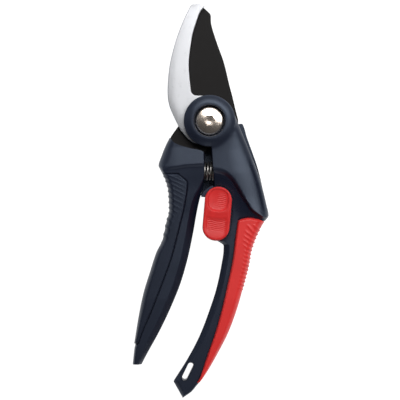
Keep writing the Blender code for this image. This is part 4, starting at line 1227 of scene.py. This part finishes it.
def make_lights():
    """Main softbox beyond the tip, a low strip at the butts and a tall softbox on the left."""
    studio = bpy.context.scene.shears_studio
    aim = (*MIDDLE, 0.01)
    area_light("key", (0.20, 0.42, 0.90), aim, (1.2, 0.5), studio.key, (1.0, 0.985, 0.97))
    area_light("strip", (0.0, -0.95, 0.55), aim, (0.5, 0.12), studio.strip, (1.0, 0.98, 0.96))
    area_light("fill", (-0.95, 0.35, 0.55), aim, (0.3, 0.9), studio.fill, (0.90, 0.95, 1.0))


def make_surround():
    """Room that is light up to a low height and dim above it."""
    world = bpy.data.worlds.new("studio")
    bpy.context.scene.world = world
    world.use_nodes = True
    tree = world.node_tree
    place = tree.nodes.new("ShaderNodeTexCoord")
    split = tree.nodes.new("ShaderNodeSeparateXYZ")
    wall = tree.nodes.new("ShaderNodeMapRange")
    wall.inputs["From Min"].default_value = 0.10
    wall.inputs["From Max"].default_value = 0.26
    wall.inputs["To Min"].default_value = 0.70
    wall.inputs["To Max"].default_value = bpy.context.scene.shears_studio.sky
    background = tree.nodes["Background"]
    background.inputs["Color"].default_value = (0.97, 0.98, 1.0, 1)
    tree.links.new(place.outputs["Generated"], split.inputs[0])
    tree.links.new(split.outputs["Z"], wall.inputs["Value"])
    tree.links.new(wall.outputs["Result"], background.inputs["Strength"])
    bpy.context.scene.view_settings.view_transform = "Standard"


# ---------------------------------------------------------------- the add-on

class ShearsColours(bpy.types.PropertyGroup):
    """Colours of the mouldings, the steel and the coating."""
    navy: bpy.props.FloatVectorProperty(
        name="Handle", description="Colour of the moulded handles", subtype="COLOR", size=3,
        default=(0.0060, 0.0080, 0.0185))
    dark: bpy.props.FloatVectorProperty(
        name="Studs", description="Colour of the spring studs", subtype="COLOR", size=3,
        default=(0.008, 0.008, 0.010))
    pad: bpy.props.FloatVectorProperty(
        name="Left grip", description="Colour of the dark grip", subtype="COLOR", size=3,
        default=(0.0058, 0.0076, 0.0175))
    grip_red: bpy.props.FloatVectorProperty(
        name="Right grip", description="Colour of the red grip", subtype="COLOR", size=3,
        default=(0.74, 0.032, 0.030))
    lock_red: bpy.props.FloatVectorProperty(
        name="Lock", description="Colour of the lock slider", subtype="COLOR", size=3,
        default=(0.67, 0.028, 0.028))
    hook: bpy.props.FloatVectorProperty(
        name="Hook", description="Colour of the satin hook", subtype="COLOR", size=3,
        default=(0.60, 0.615, 0.645))
    blade: bpy.props.FloatVectorProperty(
        name="Blade", description="Colour of the blade's coating", subtype="COLOR", size=3,
        default=(0.0080, 0.0072, 0.0075))


class ShearsSizes(bpy.types.PropertyGroup):
    """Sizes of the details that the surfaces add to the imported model."""
    bolt_gap: bpy.props.FloatProperty(
        name="Bolt gap", description="Gap round the bolt's head in the boss", unit="LENGTH",
        default=0.0008)
    hex_flats: bpy.props.FloatProperty(
        name="Hexagon", description="Width of the bolt's hexagon across its flats",
        unit="LENGTH", default=0.0052)
    hex_depth: bpy.props.FloatProperty(
        name="Hexagon depth", description="Depth of the bolt's hexagon", unit="LENGTH",
        default=0.0014)
    facet: bpy.props.FloatProperty(
        name="Ground facet", description="Width of the facet ground on the blade's back",
        unit="LENGTH", default=0.0065)
    coil_turns: bpy.props.FloatProperty(
        name="Coil turns", description="Turns of the spring", default=9.8)
    coil_wire: bpy.props.FloatProperty(
        name="Coil wire", description="Radius of the spring's wire", unit="LENGTH",
        default=0.0005)
    right_ribs: bpy.props.FloatProperty(
        name="Right ribs", description="Depth of the red grip's ribs at its outer side",
        unit="LENGTH", default=0.0005)
    left_ribs: bpy.props.FloatProperty(
        name="Left ribs", description="Depth of the dark grip's ribs at its outer side",
        unit="LENGTH", default=0.00038)
    slider_ribs: bpy.props.FloatProperty(
        name="Slider ribs", description="Depth of the fine ribs on the lock's slider",
        unit="LENGTH", default=0.00012)


class ShearsStudio(bpy.types.PropertyGroup):
    """Camera, softboxes and surroundings."""
    camera_distance: bpy.props.FloatProperty(
        name="Camera distance", description="Camera above the tool", unit="LENGTH", default=0.9)
    key: bpy.props.FloatProperty(
        name="Key light", description="Power of the main softbox", unit="POWER", default=11.0)
    fill: bpy.props.FloatProperty(
        name="Fill light", description="Power of the left softbox", unit="POWER", default=0.5)
    strip: bpy.props.FloatProperty(
        name="Strip light", description="Power of the low strip", unit="POWER", default=0.8)
    sky: bpy.props.FloatProperty(
        name="Surround", description="Strength of the light from the dim ceiling", default=0.05)
    floor_glow: bpy.props.FloatProperty(
        name="Floor glow", description="Light given off by the table top", default=1.0)


def dress_screws():
    """Finish of every screw of both handles."""
    for side, places in (("right", RIGHT_SCREWS), ("left", LEFT_SCREWS)):
        for number in range(1, len(places) + 1):
            dress(f"{side}_handle_screw_{number}", "zinc")


class SHEARS_OT_studio(bpy.types.Operator):
    """Makes the floor, the camera and the softboxes"""
    bl_idname = "shears.studio"
    bl_label = "Studio"

    def execute(self, context):
        make_floor()
        make_camera()
        make_lights()
        make_surround()
        return {"FINISHED"}


class SHEARS_OT_hook(bpy.types.Operator):
    """Makes the satin hook with its crowned back"""
    bl_idname = "shears.hook"
    bl_label = "Hook blade"

    def execute(self, context):
        make_hook()
        return {"FINISHED"}


class SHEARS_OT_blade(bpy.types.Operator):
    """Makes the coated blade with its ground edge"""
    bl_idname = "shears.blade"
    bl_label = "Cutting blade"

    def execute(self, context):
        make_cutting_blade()
        return {"FINISHED"}


class SHEARS_OT_right_handle(bpy.types.Operator):
    """Makes both shells of the right handle"""
    bl_idname = "shears.right_handle"
    bl_label = "Right handle"

    def execute(self, context):
        make_right_front()
        make_right_back()
        return {"FINISHED"}


class SHEARS_OT_left_handle(bpy.types.Operator):
    """Makes both shells of the left handle"""
    bl_idname = "shears.left_handle"
    bl_label = "Left handle"

    def execute(self, context):
        make_left_front()
        make_left_back()
        return {"FINISHED"}


class SHEARS_OT_right_grip(bpy.types.Operator):
    """Makes the red ribbed grip"""
    bl_idname = "shears.right_grip"
    bl_label = "Right grip"

    def execute(self, context):
        make_right_grip()
        return {"FINISHED"}


class SHEARS_OT_left_grip(bpy.types.Operator):
    """Makes the dark ribbed grip"""
    bl_idname = "shears.left_grip"
    bl_label = "Left grip"

    def execute(self, context):
        make_left_grip()
        return {"FINISHED"}


class SHEARS_OT_pivot(bpy.types.Operator):
    """Makes the bolt and finishes the nut, washers and bushing"""
    bl_idname = "shears.pivot"
    bl_label = "Pivot"

    def execute(self, context):
        make_pivot()
        return {"FINISHED"}


class SHEARS_OT_spring(bpy.types.Operator):
    """Makes the coil and finishes its studs"""
    bl_idname = "shears.spring"
    bl_label = "Spring"

    def execute(self, context):
        make_spring()
        return {"FINISHED"}


class SHEARS_OT_lock(bpy.types.Operator):
    """Makes the thumb slider and finishes its tongue, rivet, guide and click spring"""
    bl_idname = "shears.lock"
    bl_label = "Lock"

    def execute(self, context):
        make_lock()
        return {"FINISHED"}


class SHEARS_OT_screws(bpy.types.Operator):
    """Finishes the handle screws"""
    bl_idname = "shears.screws"
    bl_label = "Screws"

    def execute(self, context):
        dress_screws()
        return {"FINISHED"}


STEPS = [
    SHEARS_OT_studio,
    SHEARS_OT_hook,
    SHEARS_OT_blade,
    SHEARS_OT_right_handle,
    SHEARS_OT_left_handle,
    SHEARS_OT_right_grip,
    SHEARS_OT_left_grip,
    SHEARS_OT_pivot,
    SHEARS_OT_spring,
    SHEARS_OT_lock,
    SHEARS_OT_screws,
]


class SHEARS_PT_panel(bpy.types.Panel):
    """Lists the steps of the build."""
    bl_label = "Pruning shears"
    bl_idname = "SHEARS_PT_panel"
    bl_space_type = "VIEW_3D"
    bl_region_type = "UI"
    bl_category = "Shears"

    def draw(self, context):
        scene = context.scene
        for group in (scene.shears_sizes, scene.shears_colours, scene.shears_studio):
            for name in group.__annotations__:
                self.layout.prop(group, name)
        for made in STEPS:
            self.layout.operator(made.bl_idname)


CLASSES = [ShearsSizes, ShearsColours, ShearsStudio, *STEPS, SHEARS_PT_panel]


def register():
    """Adds the properties, the operators and the panel to Blender."""
    for made in CLASSES:
        bpy.utils.register_class(made)
    bpy.types.Scene.shears_sizes = bpy.props.PointerProperty(type=ShearsSizes)
    bpy.types.Scene.shears_colours = bpy.props.PointerProperty(type=ShearsColours)
    bpy.types.Scene.shears_studio = bpy.props.PointerProperty(type=ShearsStudio)


def unregister():
    """Takes them out again."""
    del bpy.types.Scene.shears_studio
    del bpy.types.Scene.shears_colours
    del bpy.types.Scene.shears_sizes
    for made in reversed(CLASSES):
        bpy.utils.unregister_class(made)


def main():
    """Makes everything in order."""
    register()
    for made in STEPS:
        getattr(bpy.ops.shears, made.bl_idname.split(".")[1])()


if __name__ == "__main__":
    main()
